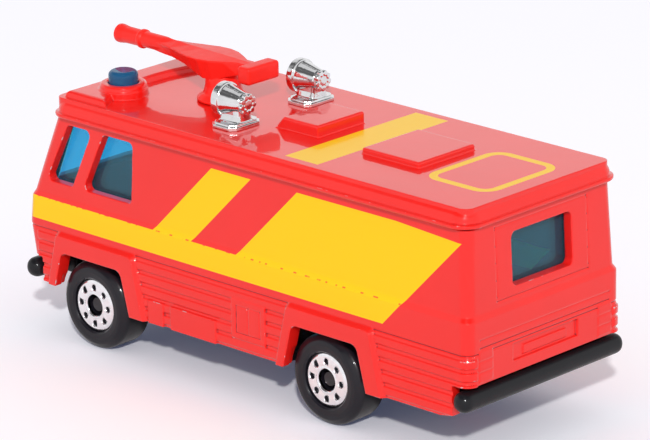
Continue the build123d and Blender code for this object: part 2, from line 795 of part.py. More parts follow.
# Water cannon, turned about its stem in the roof
with BuildPart() as cannon:
    with BuildSketch(Plane.XY.offset(roof_z - wall - stem_flange_thickness)):
        with Locations((cannon_x, 0)):
            Circle(stem_flange_radius)
    extrude(amount=stem_flange_thickness - swivel_clearance)
    with BuildSketch(Plane.XY.offset(roof_z - wall - stem_flange_thickness)):
        with Locations((cannon_x, 0)):
            Circle(stem_radius)
    extrude(amount=2 * wall)
    # Waisted pedestal. Columns: radius, height
    foot_z = roof_z + swivel_clearance
    pedestal_profile = (
        (0, foot_z),
        (pedestal_foot_radius, foot_z),
        (pedestal_foot_radius, foot_z + pedestal_foot_height),
        (pedestal_radius, foot_z + pedestal_waist_height),
        (pedestal_radius, (foot_z + deck_foot_z) / 2),
        (pedestal_head_radius, deck_foot_z),
        (0, deck_foot_z),
    )
    with BuildSketch(Plane.XZ):
        with BuildLine():
            Polyline(*((cannon_x + radius, z) for radius, z in pedestal_profile), close=True)
        make_face()
    revolve(axis=Axis((cannon_x, 0, 0), (0, 0, 1)))
    # Deck with upright edges and a roof that rises to a ridge
    for low_z, high_z, low_half, high_half in (
        (deck_foot_z, deck_edge_z, 0, 0),
        (deck_edge_z, deck_ridge_z, 0, deck_ridge_half),
    ):
        for z, half in ((low_z, low_half), (high_z, high_half)):
            with BuildSketch(Plane.XY.offset(z)):
                with BuildLine():
                    left = [(cannon_x + ahead, half or width) for ahead, width in deck_plan]
                    right = [(x, -y) for x, y in reversed(left)]
                    Polyline(*left, *right, close=True)
                make_face()
        loft(ruled=True)
    with BuildSketch(Plane.YZ.offset(cannon_x)):
        with Locations((0, barrel_z)):
            Circle(barrel_radius)
    extrude(amount=nozzle_tip_x - cannon_x)
    with BuildSketch(Plane.YZ.offset(nozzle_tip_x - collar_setback - collar_length)):
        with Locations((0, barrel_z)):
            Circle(collar_radius)
    extrude(amount=collar_length)
    with BuildSketch(Plane.YZ.offset(nozzle_tip_x - nozzle_length)):
        with Locations((0, barrel_z)):
            Circle(nozzle_radius)
    extrude(amount=nozzle_length)
    with BuildSketch(Plane.YZ.offset(nozzle_tip_x - nozzle_bore_depth)):
        with Locations((0, barrel_z)):
            Circle(nozzle_bore_radius)
    extrude(amount=overall_length, mode=Mode.SUBTRACT)
    with BuildSketch(Plane.XY.offset(handle_foot_z)):
        with Locations((handle_nose_x - handle_length / 2, 0)):
            Rectangle(handle_length, handle_width)
    handle = extrude(amount=handle_top_z - handle_foot_z, mode=Mode.PRIVATE)
    add(handle.fillet(handle_edge_radius, handle.edges()))


def spotlight(side):
    """Plated spotlight on its foot, side 1 for left and -1 for right."""
    # Columns: x along the drum, radius there
    profile = (
        (spotlight_tail_x, 0),
        (spotlight_tail_x, tail_cap_radius),
        (spotlight_tail_x + tail_cap_length, tail_cap_radius),
        (spotlight_tail_x + tail_cap_length, drum_tail_radius),
        (spotlight_nose_x - rim_length, drum_nose_radius),
        (spotlight_nose_x - rim_length, rim_radius),
        (spotlight_nose_x, rim_radius),
        (spotlight_nose_x, 0),
    )
    with BuildPart() as lamp:
        with BuildSketch(Plane.XY.offset(roof_z)) as foot:
            with Locations((spotlight_x, side * spotlight_y)):
                Rectangle(spotlight_base_length, spotlight_base_width)
            chamfer(foot.vertices(), spotlight_base_chamfer)
        extrude(amount=spotlight_base_height)
        with BuildSketch(Plane.XY.offset(roof_z)):
            with Locations((spotlight_x, side * spotlight_y)):
                Circle(neck_radius)
        extrude(amount=spotlight_axis_z - roof_z)
        with BuildSketch(Plane.XY.offset(roof_z)):
            with Locations((spotlight_x, side * spotlight_y)):
                Circle(peg_radius)
        extrude(amount=-peg_length)
        drum_origin = (0, side * spotlight_y, spotlight_axis_z)
        with BuildSketch(Plane(origin=drum_origin, x_dir=(1, 0, 0), z_dir=(0, -1, 0))):
            with BuildLine():
                Polyline(*profile, close=True)
            make_face()
        revolve(axis=Axis(drum_origin, (1, 0, 0)))
    return lamp.part


def axle(axle_x):
    """Steel axle with a spun head at each end."""
    head_y = tyre_outer_y - disc_recess - dish_depth - head_pocket_depth
    with BuildPart() as shaft:
        with BuildSketch(Plane.XZ):
            with Locations((axle_x, tyre_radius)):
                Circle(axle_radius)
        extrude(amount=head_y + axle_head_thickness, both=True)
        for side in (1, -1):
            with BuildSketch(Plane.XZ.offset(-side * head_y)):
                with Locations((axle_x, tyre_radius)):
                    Circle(axle_head_radius)
            extrude(amount=-side * axle_head_thickness)
    return shaft.part


def wheel(axle_x, side):
    """Wheel with its tyre, dished disc and hub pocket, side 1 for left."""
    inner_y = tyre_outer_y - tyre_width
    disc_y = tyre_outer_y - disc_recess
    hub_y = disc_y - dish_depth
    pocket_y = hub_y - head_pocket_depth - bore_clearance
    bore = axle_radius + bore_clearance
    # Columns: radius from the axle, distance from the middle of the vehicle
    profile = (
        (bore, inner_y),
        (tyre_radius - tyre_shoulder, inner_y),
        (tyre_radius - shoulder_bulge, inner_y + shoulder_bulge),
        (tyre_radius, inner_y + tyre_shoulder),
        (tyre_radius, tyre_outer_y - tyre_shoulder),
        (tyre_radius - shoulder_bulge, tyre_outer_y - shoulder_bulge),
        (tyre_radius - tyre_shoulder, tyre_outer_y),
        (disc_radius + disc_recess, tyre_outer_y),
        (disc_radius, disc_y),
        (dish_radius, hub_y),
        (head_pocket_radius, hub_y),
        (head_pocket_radius, pocket_y),
        (bore, pocket_y),
    )
    with BuildPart() as rim:
        with BuildSketch(Plane(origin=(axle_x, 0, tyre_radius), x_dir=(1, 0, 0), z_dir=(0, 0, 1))):
            with BuildLine():
                Polyline(*((r, side * y) for r, y in profile), close=True)
            make_face()
        revolve(axis=Axis((axle_x, 0, tyre_radius), (0, 1, 0)))
    return rim.part


pieces = {
    "body_shell": body_shell.part,
    "glazing": glazing.part,
    "base_plate": base_plate.part,
    "cannon": cannon.part,
    "spotlight_left": spotlight(1),
    "spotlight_right": spotlight(-1),
    "axle_front": axle(front_axle_x),
    "axle_rear": axle(rear_axle_x),
    "wheel_front_left": wheel(front_axle_x, 1),
    "wheel_front_right": wheel(front_axle_x, -1),
    "wheel_rear_left": wheel(rear_axle_x, 1),
    "wheel_rear_right": wheel(rear_axle_x, -1),
}
for node, piece in pieces.items():
    piece.label = node
    export_step(piece, f"parts/{node}.step")
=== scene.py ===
"""Looks of the die-cast toy airport fire truck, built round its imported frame.

Sizes in the classes are millimetres; meshes are in metres, +X forward, +Y to the
truck's left and +Z up, with the origin on the ground midway between the bumpers.
"""

import logging
import math
from dataclasses import dataclass, field
from enum import Enum
from typing import Callable, NamedTuple, Sequence

import bmesh
import bpy
import numpy as np
from mathutils import Matrix, Vector


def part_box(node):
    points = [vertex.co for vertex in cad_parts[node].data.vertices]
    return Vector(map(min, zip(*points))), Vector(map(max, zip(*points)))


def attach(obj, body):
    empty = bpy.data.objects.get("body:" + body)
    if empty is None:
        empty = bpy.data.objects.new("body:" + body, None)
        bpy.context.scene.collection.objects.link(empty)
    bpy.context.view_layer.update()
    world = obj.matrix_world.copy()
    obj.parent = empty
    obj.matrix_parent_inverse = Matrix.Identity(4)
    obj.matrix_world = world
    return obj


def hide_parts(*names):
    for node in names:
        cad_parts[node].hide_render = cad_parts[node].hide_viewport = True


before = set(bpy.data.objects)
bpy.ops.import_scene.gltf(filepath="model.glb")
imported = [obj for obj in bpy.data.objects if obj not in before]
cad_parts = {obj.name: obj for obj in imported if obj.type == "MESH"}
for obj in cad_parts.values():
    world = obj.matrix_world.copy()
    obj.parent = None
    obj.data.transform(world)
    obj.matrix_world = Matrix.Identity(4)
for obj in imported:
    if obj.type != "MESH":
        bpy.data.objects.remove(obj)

LOG = logging.getLogger("fire_truck")
MM = 0.001
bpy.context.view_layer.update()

# Points closer than this, in metres, are one
MERGE_DISTANCE = 1e-7
# A corner whose half angle is wider than this is straight and isn't rounded
STRAIGHT_HALF = math.radians(89)
# Most of a profile's straight that the rounding of one corner may take
STRAIGHT_SHARE = 0.49
# Width of a printed edge's soft end
PRINT_BLUR = 0.02

Object = bpy.types.Object
Mesh = bpy.types.Mesh
WorkMesh = bmesh.types.BMesh
Material = bpy.types.Material
NodeTree = bpy.types.NodeTree
Socket = bpy.types.NodeSocket
Colour = tuple[float, float, float]
Point = tuple[float, float]
Span = tuple[float, float]
Given = Socket | float | Colour
# Distance along the axis, radius and rounding of one corner of a turned profile
Row = tuple[float, float, float]


class Side(Enum):
    """Side of the truck, as the sign of Y."""

    LEFT = 1
    RIGHT = -1


class Station(Enum):
    """Axle of the truck."""

    FRONT = "front"
    REAR = "rear"


class Blend(Enum):
    """What a Mix node blends: data type, places of its two inputs, place of its output."""

    NUMBER = ("FLOAT", 2, 3, 0)
    COLOUR = ("RGBA", 6, 7, 2)


class Wave(NamedTuple):
    """Noise of a finish: waves to a millimetre, octaves of detail and how much it does."""

    scale: float
    detail: float
    amount: float = 1.0


# Mesh helpers


def link(name: str, mesh: Mesh) -> Object:
    """Puts a mesh into the scene under a name.

    Args:
        name: Name of the new object.
        mesh: Its mesh, already in the truck's frame.

    Returns:
        The new object.
    """
    piece = bpy.data.objects.new(name, mesh)
    bpy.context.scene.collection.objects.link(piece)
    return piece


def bake(piece: Object) -> Object:
    """Turns a piece's modifiers into its plain mesh.

    Args:
        piece: Object whose modifiers are applied and removed.

    Returns:
        The same object.
    """
    graph = bpy.context.evaluated_depsgraph_get()
    mesh = bpy.data.meshes.new_from_object(piece.evaluated_get(graph))
    piece.modifiers.clear()
    piece.data = mesh
    return piece


def shade_smooth(mesh: Mesh) -> None:
    """Shades every face of a mesh smooth."""
    for face in mesh.polygons:
        face.use_smooth = True


def finish_mesh(name: str, work: WorkMesh, place: Matrix | None = None) -> Mesh:
    """Writes a closed working mesh with its faces outwards.

    Args:
        name: Name of the mesh.
        work: Working mesh, freed here.
        place: Where the mesh goes in the truck's frame.

    Returns:
        The finished mesh.
    """
    if place is not None:
        work.transform(place)
    bmesh.ops.remove_doubles(work, verts=work.verts, dist=MERGE_DISTANCE)
    bmesh.ops.recalc_face_normals(work, faces=work.faces)
    mesh = bpy.data.meshes.new(name)
    work.to_mesh(mesh)
    work.free()
    shade_smooth(mesh)
    return mesh


def shifted(rows: Sequence[Row], along: float, out: float = 0.0) -> list[Row]:
    """Moves rows of a profile along the axis and outwards."""
    return [(along + row[0], out + row[1], row[2]) for row in rows]


def rounded(rows: Sequence[Row], steps: int) -> list[Point]:
    """Rounds the corners of an open profile with short arcs.

    Args:
        rows: Corners of the profile; the first and last stay sharp.
        steps: Points along each arc.

    Returns:
        The profile with its arcs.
    """
    points = [row[:2] for row in rows]
    profile = [points[0]]
    for before, corner, after, row in zip(points, points[1:], points[2:], rows[1:]):
        rounding = row[2]
        here, back, ahead = Vector(corner), Vector(before), Vector(after)
        arm_in, arm_out = (back - here).normalized(), (ahead - here).normalized()
        half = arm_in.angle(arm_out) / 2
        if rounding <= 0 or half > STRAIGHT_HALF:
            profile.append(corner)
            continue
        room = min((back - here).length, (ahead - here).length) * STRAIGHT_SHARE
        reach = min(rounding / math.tan(half), room)
        start, end = here + arm_in * reach, here + arm_out * reach
        for step in range(steps + 1):
            t = step / steps
            spot = start * (1 - t) ** 2 + here * (2 * t * (1 - t)) + end * t**2
            profile.append((spot.x, spot.y))
    profile.append(points[-1])
    return profile


def lathe(rows: Sequence[Row], steps: int, arc_steps: int = 5) -> WorkMesh:
    """Turns a profile about the local Z axis.

    Args:
        rows: Corners of the profile, a closed ring unless both ends lie on the axis.
        steps: Faces round the axis.
        arc_steps: Points along the arc of each corner.

    Returns:
        Working mesh in metres.
    """
    work = bmesh.new()
    angles = [2 * math.pi * step / steps for step in range(steps)]
    rings: list[list[bmesh.types.BMVert]] = []
    for along, radius in rounded(rows, arc_steps):
        reach, z = radius * MM, along * MM
        if radius <= 0:
            rings.append([work.verts.new((0, 0, z))])
            continue
        spots = ((reach * math.cos(a), reach * math.sin(a), z) for a in angles)
        rings.append([work.verts.new(spot) for spot in spots])
    pairs = list(zip(rings, rings[1:]))
    if len(rings[0]) > 1:
        pairs.append((rings[-1], rings[0]))
    for low, high in pairs:
        for step in range(steps):
            following = (step + 1) % steps
            corners = [low[step % len(low)], low[following % len(low)]]
            corners += [high[following % len(high)], high[step % len(high)]]
            distinct = list(dict.fromkeys(corners))
            if len(distinct) > 2:
                work.faces.new(distinct)
    return work


def skin_rings(work: WorkMesh, rings: Sequence[Sequence[bmesh.types.BMVert]]) -> None:
    """Closes a row of rings with walls between them and a face at both ends.

    Args:
        work: Working mesh that holds the rings.
        rings: Rings with the same number of points, in order.
    """
    for low, high in zip(rings, rings[1:]):
        for corner in range(len(low)):
            following = (corner + 1) % len(low)
            work.faces.new((low[corner], low[following], high[following], high[corner]))
    work.faces.new(rings[0])
    work.faces.new(rings[-1])


def superellipse_loft(
    sections: Sequence[tuple[float, float, float, float, float]], steps: int
) -> WorkMesh:
    """Lofts soft-cornered level sections up the Z axis.

    Args:
        sections: Rows of centre x, z, half length, half width and squareness.
        steps: Points round each section.

    Returns:
        Closed working mesh in metres.
    """
    work = bmesh.new()
    rings = []
    for centre_x, z, half_length, half_width, squareness in sections:
        ring = []
        for step in range(steps):
            angle = 2 * math.pi * step / steps
            cos, sin = math.cos(angle), math.sin(angle)
            x = centre_x + half_length * math.copysign(abs(sin) ** (2 / squareness), sin)
            y = half_width * math.copysign(abs(cos) ** (2 / squareness), cos)
            ring.append(work.verts.new((x * MM, y * MM, z * MM)))
        rings.append(ring)
    skin_rings(work, rings)
    return work


def soft_box(low: Sequence[float], high: Sequence[float], radius: float) -> WorkMesh:
    """Box with rounded edges.

    Args:
        low: Lowest corner in millimetres.
        high: Highest corner in millimetres.
        radius: Radius of every edge.

    Returns:
        Closed working mesh in metres.
    """
    work = bmesh.new()
    bmesh.ops.create_cube(work, size=1)
    size = [(b - a) * MM for a, b in zip(low, high)]
    middle = [(a + b) / 2 * MM for a, b in zip(low, high)]
    bmesh.ops.scale(work, vec=size, verts=work.verts)
    bmesh.ops.translate(work, vec=middle, verts=work.verts)
    edges, width = list(work.edges), radius * MM
    bmesh.ops.bevel(work, geom=edges, offset=width, segments=3, profile=0.5, affect="EDGES")
    return work


@dataclass(frozen=True)
class Skin:
    """Voxel skin that runs closed forms into one, as a casting or moulding has."""

    voxel: float
    share: float
    smoothing: int = 3

    def wrap(self, name: str, parts: Sequence[Mesh]) -> Object:
        """Wraps closed forms in one skin with soft edges.

        Args:
            name: Name of the piece.
            parts: Closed meshes that may run into each other.

        Returns:
            One object with one closed mesh.
        """
        work = bmesh.new()
        for part in parts:
            work.from_mesh(part)
        bmesh.ops.remove_doubles(work, verts=work.verts, dist=MERGE_DISTANCE)
        mesh = bpy.data.meshes.new(name)
        work.to_mesh(mesh)
        work.free()
        piece = link(name, mesh)
        skin = piece.modifiers.new("Skin", "REMESH")
        skin.mode = "VOXEL"
        skin.voxel_size = self.voxel * MM
        skin.use_smooth_shade = True
        flow = piece.modifiers.new("Flow", "SMOOTH")
        flow.factor = 0.5
        flow.iterations = self.smoothing
        piece.modifiers.new("Thin", "DECIMATE").ratio = self.share
        bake(piece)
        shade_smooth(piece.data)
        return piece


def map_creases(piece: Object) -> None:
    """Stores at each vertex how hollow the surface is, per millimetre, as "crease".

    Args:
        piece: Finished object.
    """
    mesh = piece.data
    spots, normals = np.empty((2, len(mesh.vertices), 3))
    mesh.vertices.foreach_get("co", spots.ravel())
    mesh.vertices.foreach_get("normal", normals.ravel())
    ends = np.empty((len(mesh.edges), 2), dtype=np.int32)
    mesh.edges.foreach_get("vertices", ends.ravel())
    here = np.concatenate((ends[:, 0], ends[:, 1]))
    there = np.concatenate((ends[:, 1], ends[:, 0]))
    step = (spots[there] - spots[here]) / MM
    # The floor keeps an edge of no length from dividing by nothing
    bend = 2 * (step * normals[here]).sum(axis=1) / np.maximum((step**2).sum(axis=1), 1e-6)
    neighbours = np.maximum(np.bincount(here, minlength=len(spots)), 1)
    hollow = np.bincount(here, weights=bend, minlength=len(spots)) / neighbours
    around = np.bincount(here, weights=hollow[there], minlength=len(spots)) / neighbours
    crease = mesh.attributes.new("crease", "FLOAT", "POINT")
    crease.data.foreach_set("value", ((hollow + around) / 2).astype(np.float32))


def mount(
    piece: Object, body: str, material: Material, nodes: Sequence[str] = ()
) -> Object:
    """Dresses a finished piece and fixes it to its body.

    Args:
        piece: Finished object at the origin.
        body: Body that it rides on.
        material: Its material.
        nodes: Nodes of the frame that it stands for.

    Returns:
        The same object.
    """
    piece.data.materials.clear()
    piece.data.materials.append(material)
    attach(piece, body)
    if nodes:
        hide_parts(*nodes)
    LOG.info("%s: %d faces on %s", piece.name, len(piece.data.polygons), body)
    return piece


def dress(name: str, material: Material) -> None:
    """Gives one of the frame's own nodes its finish.

    Args:
        name: Name of the node.
        material: Its material.
    """
    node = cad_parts[name]
    node.data.materials.clear()
    node.data.materials.append(material)
    LOG.info("%s: the frame's own mesh", name)


# Shader helpers


def feed(tree: NodeTree, socket: Socket, value: Given) -> None:
    """Links a socket to another socket, or sets it to a constant.

    Args:
        tree: Tree of both sockets.
        socket: Input that is fed.
        value: Socket, number or colour.
    """
    if isinstance(value, Socket):
        tree.links.new(value, socket)
    else:
        socket.default_value = (*value, 1.0) if isinstance(value, tuple) else value


def blend(tree: NodeTree, kind: Blend, share: Given, first: Given, second: Given) -> Socket:
    """Adds a Mix node.

    Args:
        tree: Tree that it goes into.
        kind: What it blends.
        share: Share of the second input.
        first: Input at share 0.
        second: Input at share 1.

    Returns:
        Its output.
    """
    data_type, first_place, second_place, output = kind.value
    node = tree.nodes.new("ShaderNodeMix")
    node.data_type = data_type
    for place, value in (("Factor", share), (first_place, first), (second_place, second)):
        feed(tree, node.inputs[place], value)
    return node.outputs[output]


def smooth_step(tree: NodeTree, value: Socket, limits: Span, ends: tuple[Given, Given]) -> Socket:
    """Adds a smooth step of a value.

    Args:
        tree: Tree that it goes into.
        value: Value that is tested.
        limits: Where the step starts and ends.
        ends: Results at the start and the end.

    Returns:
        Its output.
    """
    node = tree.nodes.new("ShaderNodeMapRange")
    node.interpolation_type = "SMOOTHSTEP"
    labels = ("Value", "From Min", "From Max", "To Min", "To Max")
    for label, given in zip(labels, (value, *limits, *ends)):
        feed(tree, node.inputs[label], given)
    return node.outputs["Result"]


def shade(colour: Colour, share: float) -> Colour:
    """A colour at a share of its strength."""
    return tuple(c * share for c in colour)


class Shader:
    """Material with a Principled shader and short ways to add nodes."""

    def __init__(self, name: str) -> None:
        """Starts a material.

        Args:
            name: Name of the material.
        """
        self.material = bpy.data.materials.new(name)
        self.material.use_nodes = True
        self.tree = self.material.node_tree
        self.surface = self.tree.nodes["Principled BSDF"]
        self._millimetres: Socket | None = None
        self._axes: dict[str, Socket] = {}

    def set(self, **values: Given) -> "Shader":
        """Sets inputs of the Principled shader by their names with underscores.

        Args:
            **values: A constant or a socket for each input.

        Returns:
            This shader.
        """
        for name, value in values.items():
            label = name.replace("_", " ").title().replace("Ior", "IOR")
            feed(self.tree, self.surface.inputs[label], value)
        return self

    def millimetres(self) -> Socket:
        """Object coordinates in millimetres.

        Returns:
            One vector socket, made once for each material.
        """
        if self._millimetres is None:
            place = self.tree.nodes.new("ShaderNodeTexCoord")
            scale = self.tree.nodes.new("ShaderNodeVectorMath")
            scale.operation = "SCALE"
            self.tree.links.new(place.outputs["Object"], scale.inputs[0])
            scale.inputs["Scale"].default_value = 1 / MM
            self._millimetres = scale.outputs[0]
        return self._millimetres

    def axis(self, name: str) -> Socket:
        """One object coordinate in millimetres.

        Args:
            name: X, Y or Z.

        Returns:
            Its socket.
        """
        if not self._axes:
            split = self.tree.nodes.new("ShaderNodeSeparateXYZ")
            self.tree.links.new(self.millimetres(), split.inputs[0])
            self._axes = {key: split.outputs[key] for key in "XYZ"}
        return self._axes[name]

    def crease(self) -> Socket:
        """Hollowness that map_creases stored, per millimetre.

        Returns:
            Its socket.
        """
        node = self.tree.nodes.new("ShaderNodeAttribute")
        node.attribute_name = "crease"
        return node.outputs["Fac"]

    def math(self, operation: str, *values: Given) -> Socket:
        """Adds a Math node.

        Args:
            operation: Name of the operation.
            *values: Its inputs, as constants or sockets.

        Returns:
            Its output.
        """
        node = self.tree.nodes.new("ShaderNodeMath")
        node.operation = operation
        for socket, value in zip(node.inputs, values):
            feed(self.tree, socket, value)
        return node.outputs[0]

    def size(self, value: Socket) -> Socket:
        """A value without its sign."""
        return self.math("ABSOLUTE", value)

    def above(self, value: Socket, limit: float, blur: float = PRINT_BLUR) -> Socket:
        """Mask that is 1 above a limit."""
        return smooth_step(self.tree, value, (limit - blur, limit + blur), (0.0, 1.0))

    def below(self, value: Socket, limit: float, blur: float = PRINT_BLUR) -> Socket:
        """Mask that is 1 below a limit."""
        return smooth_step(self.tree, value, (limit - blur, limit + blur), (1.0, 0.0))

    def between(self, value: Socket, span: Span, blur: float = PRINT_BLUR) -> Socket:
        """Mask that is 1 between two limits."""
        return self.all_of(self.above(value, span[0], blur), self.below(value, span[1], blur))

    def behind(self, first: Point, second: Point) -> Socket:
        """Mask of the side behind a slanted line in the X, Z plane.

        Args:
            first: Lower point of the line as x, z.
            second: Upper point of the line as x, z.

        Returns:
            Mask that is 1 towards the tail.
        """
        run, rise = second[0] - first[0], second[1] - first[1]
        length = math.hypot(run, rise)
        across = self.math("MULTIPLY", self.axis("X"), rise / length)
        level = self.math("MULTIPLY_ADD", self.axis("Z"), -run / length, across)
        return self.below(level, (first[0] * rise - first[1] * run) / length)

    def all_of(self, *masks: Given) -> Socket:
        """Product of masks.

        Args:
            *masks: Masks or constants, the first a mask.

        Returns:
            Their product.
        """
        result = masks[0]
        for mask in masks[1:]:
            result = self.math("MULTIPLY", result, mask)
        return result

    def any_of(self, *masks: Given) -> Socket:
        """Highest of masks.

        Args:
            *masks: Masks or constants, the first a mask.

        Returns:
            The highest of them at each place.
        """
        result = masks[0]
        for mask in masks[1:]:
            result = self.math("MAXIMUM", result, mask)
        return result

    def outside(self, mask: Socket) -> Socket:
        """Mask of all that another mask leaves."""
        return self.math("SUBTRACT", 1.0, mask)

    def mix(self, share: Given, first: Given, second: Given) -> Socket:
        """Colour between two, with the share of the second."""
        return blend(self.tree, Blend.COLOUR, share, first, second)

    def noise(self, wave: Wave, stretch: Sequence[float] | None = None) -> Socket:
        """Noise over the piece.

        Args:
            wave: Its scale and detail.
            stretch: Scale of the place along each axis.

        Returns:
            Value from 0 to 1.
        """
        place = self.millimetres()
        if stretch is not None:
            node = self.tree.nodes.new("ShaderNodeMapping")
            node.inputs["Scale"].default_value = stretch
            self.tree.links.new(place, node.inputs["Vector"])
            place = node.outputs[0]
        pattern = self.tree.nodes.new("ShaderNodeTexNoise")
        pattern.inputs["Scale"].default_value = wave.scale
        pattern.inputs["Detail"].default_value = wave.detail
        self.tree.links.new(place, pattern.inputs["Vector"])
        return pattern.outputs["Fac"]

    def swing(self, wave: Wave, level: float) -> Socket:
        """Level that noise raises by up to its amount."""
        return self.math("MULTIPLY_ADD", self.noise(wave), wave.amount, level)

    def relief(self, wave: Wave) -> "Shader":
        """Raises the surface, and its coat, by noise.

        Args:
            wave: The noise, with its height in millimetres.

        Returns:
            This shader.
        """
        node = self.tree.nodes.new("ShaderNodeBump")
        node.inputs["Distance"].default_value = wave.amount * MM
        node.inputs["Strength"].default_value = 1.0
        self.tree.links.new(self.noise(wave), node.inputs["Height"])
        for name in ("Normal", "Coat Normal"):
            self.tree.links.new(node.outputs[0], self.surface.inputs[name])
        return self


# Finishes


@dataclass(frozen=True)
class Enamel:
    """Thick gloss enamel with the printed stripes, over bare die-cast metal, with painted shade in
    its hollows.
    """

    red: Colour = (0.88, 0.012, 0.008)
    yellow: Colour = (0.96, 0.565, 0.003)
    metal: Colour = (0.46, 0.42, 0.44)
    # Painted shade: near-black red laid into the hollows and the line under the roof's lip
    crease_shade: Colour = (0.16, 0.006, 0.016)
    # Print on the sides
    side_skin: float = 13.3
    print_foot: float = 17.05
    print_belt: float = 20.3
    print_lap: float = 0.05
    print_head: float = 31.15
    print_nose: float = 40.1
    nose_blur: float = 0.25
    first_stripe: Span = (16.15, 8.85)
    field_front: float = 0.41
    lean: float = -10.85
    field_tip: Point = (-39.6, 30.95)
    field_heel: Point = (-25.92, 16.75)
    field_sag_from: float = -28.0
    field_sag: float = 0.056
    # Dashes where the print breaks up, from the belt's upper edge
    dashes: Wave = Wave(0.9, 1.0, 0.8)
    dash_share: float = 0.56
    dash_band: Span = (-0.02, 0.16)
    dash_blur: float = 0.05
    # Print on the roof
    roof_skin: float = 34.9
    roof_band: Span = (-12.8, -6.95)
    roof_band_half: float = 12.6
    border_x: float = -31.85
    border_half: Point = (5.7, 7.4)
    border_corner: float = 2.6
    border_stroke: float = 1.15
    # Painted shade that darkens the hollows, by their hollowness per millimetre
    shade_from: float = 2.6
    shade_blur: float = 1.9
    shade_share: float = 0.8
    roof_shade_share: float = 0.35
    roof_blur: float = 0.1
    eave_z: Span = (32.0, 32.8)
    eave_blur: float = 0.05
    eave_shade_crease: Span = (0.2, 1.4)
    eave_shade_share: float = 0.92
    # Chips on the sharpest edges
    chips: Wave = Wave(0.9, 3.0)
    chip_from: float = -2.3
    chip_blur: float = 0.5
    chip_share: float = 0.61
    # Gloss and evenness
    tone: Wave = Wave(0.12, 2.0, 0.9)
    peel: Wave = Wave(0.55, 2.0, 0.010)
    roughness: float = 0.3
    specular: float = 0.1
    print_matt: float = 0.7
    coat_roughness: float = 0.03
    coat_ior: float = 1.42

    def leaning(self, shader: Shader, foot_x: float) -> Socket:
        """Mask behind one leaning edge of the stripes."""
        head = (foot_x + self.lean, self.print_head)
        return shader.behind((foot_x, self.print_belt), head)

    def side_print(self, shader: Shader) -> Socket:
        """Yellow print on both sides: belt, leaning stripe and long field.

        Args:
            shader: Shader that the mask is added to.

        Returns:
            Mask of the print.
        """
        x, z = shader.axis("X"), shader.axis("Z")
        skin = shader.above(shader.size(shader.axis("Y")), self.side_skin)
        ahead_of_heel = shader.outside(shader.behind(self.field_heel, self.field_tip))
        belt = shader.all_of(
            shader.between(z, (self.print_foot, self.print_belt + self.print_lap)),
            shader.below(x, self.print_nose, self.nose_blur),
            ahead_of_heel,
        )
        upper = (self.print_belt, self.print_head)
        start, end = self.first_stripe
        stripe = shader.all_of(
            shader.between(z, upper),
            self.leaning(shader, start),
            shader.outside(self.leaning(shader, end)),
        )
        sag = shader.math("MAXIMUM", shader.math("SUBTRACT", self.field_sag_from, x), 0.0)
        level = shader.math("MULTIPLY_ADD", sag, self.field_sag, z)
        long_field = shader.all_of(
            shader.between(level, upper), self.leaning(shader, self.field_front), ahead_of_heel
        )
        printed = shader.all_of(skin, shader.any_of(belt, stripe, long_field))
        pattern = shader.noise(self.dashes, (1.0, 0.0, 0.0))
        dashes = shader.above(pattern, self.dash_share, self.dash_blur)
        low, high = self.dash_band
        crease = (self.print_belt + low, self.print_belt + high)
        crease_mask = shader.between(z, crease, self.dash_blur)
        gone = shader.all_of(crease_mask, dashes, self.dashes.amount)
        return shader.all_of(printed, shader.outside(gone))

    def roof_print(self, shader: Shader) -> Socket:
        """Blank yellow band and blank rounded border on the roof.

        Args:
            shader: Shader that the mask is added to.

        Returns:
            Mask of the print.
        """
        x, z = shader.axis("X"), shader.axis("Z")
        across = shader.size(shader.axis("Y"))
        skin = shader.above(z, self.roof_skin)
        band = shader.all_of(
            shader.between(x, self.roof_band), shader.below(across, self.roof_band_half)
        )
        # Distance from the core of a rounded rectangle
        along = shader.size(shader.math("SUBTRACT", x, self.border_x))
        beyond = [
            shader.math("SUBTRACT", reach, half - self.border_corner)
            for reach, half in zip((along, across), self.border_half)
        ]
        squares = [
            shader.math("POWER", shader.math("MAXIMUM", reach, 0.0), 2.0) for reach in beyond
        ]
        outer = shader.math("SQRT", shader.math("ADD", *squares))
        inner = shader.math("MINIMUM", shader.any_of(*beyond), 0.0)
        stroke = (self.border_corner - self.border_stroke, self.border_corner)
        border = shader.between(shader.math("ADD", outer, inner), stroke)
        return shader.all_of(skin, shader.any_of(band, border))

    def painted_crease_shade(self, shader: Shader, crease: Socket) -> Socket:
        """Mask of the painted shade that darkens the hollows.

        Args:
            shader: Shader that the mask is added to.
            crease: Hollowness of the surface.

        Returns:
            Mask of the pooled paint.
        """
        z = shader.axis("Z")
        roof = shader.above(z, self.roof_skin, self.roof_blur)
        change = self.roof_shade_share - self.shade_share
        share = shader.math("MULTIPLY_ADD", roof, change, self.shade_share)
        crease_shaded = shader.all_of(shader.above(crease, self.shade_from, self.shade_blur), share)
        # The painted shadow is strongest in the line under the roof's lip
        eave = shader.between(z, self.eave_z, self.eave_blur)
        low, high = self.eave_shade_crease
        eave_shaded = shader.above(crease, (low + high) / 2, (high - low) / 2)
        return shader.any_of(crease_shaded, shader.all_of(eave, eave_shaded, self.eave_shade_share))

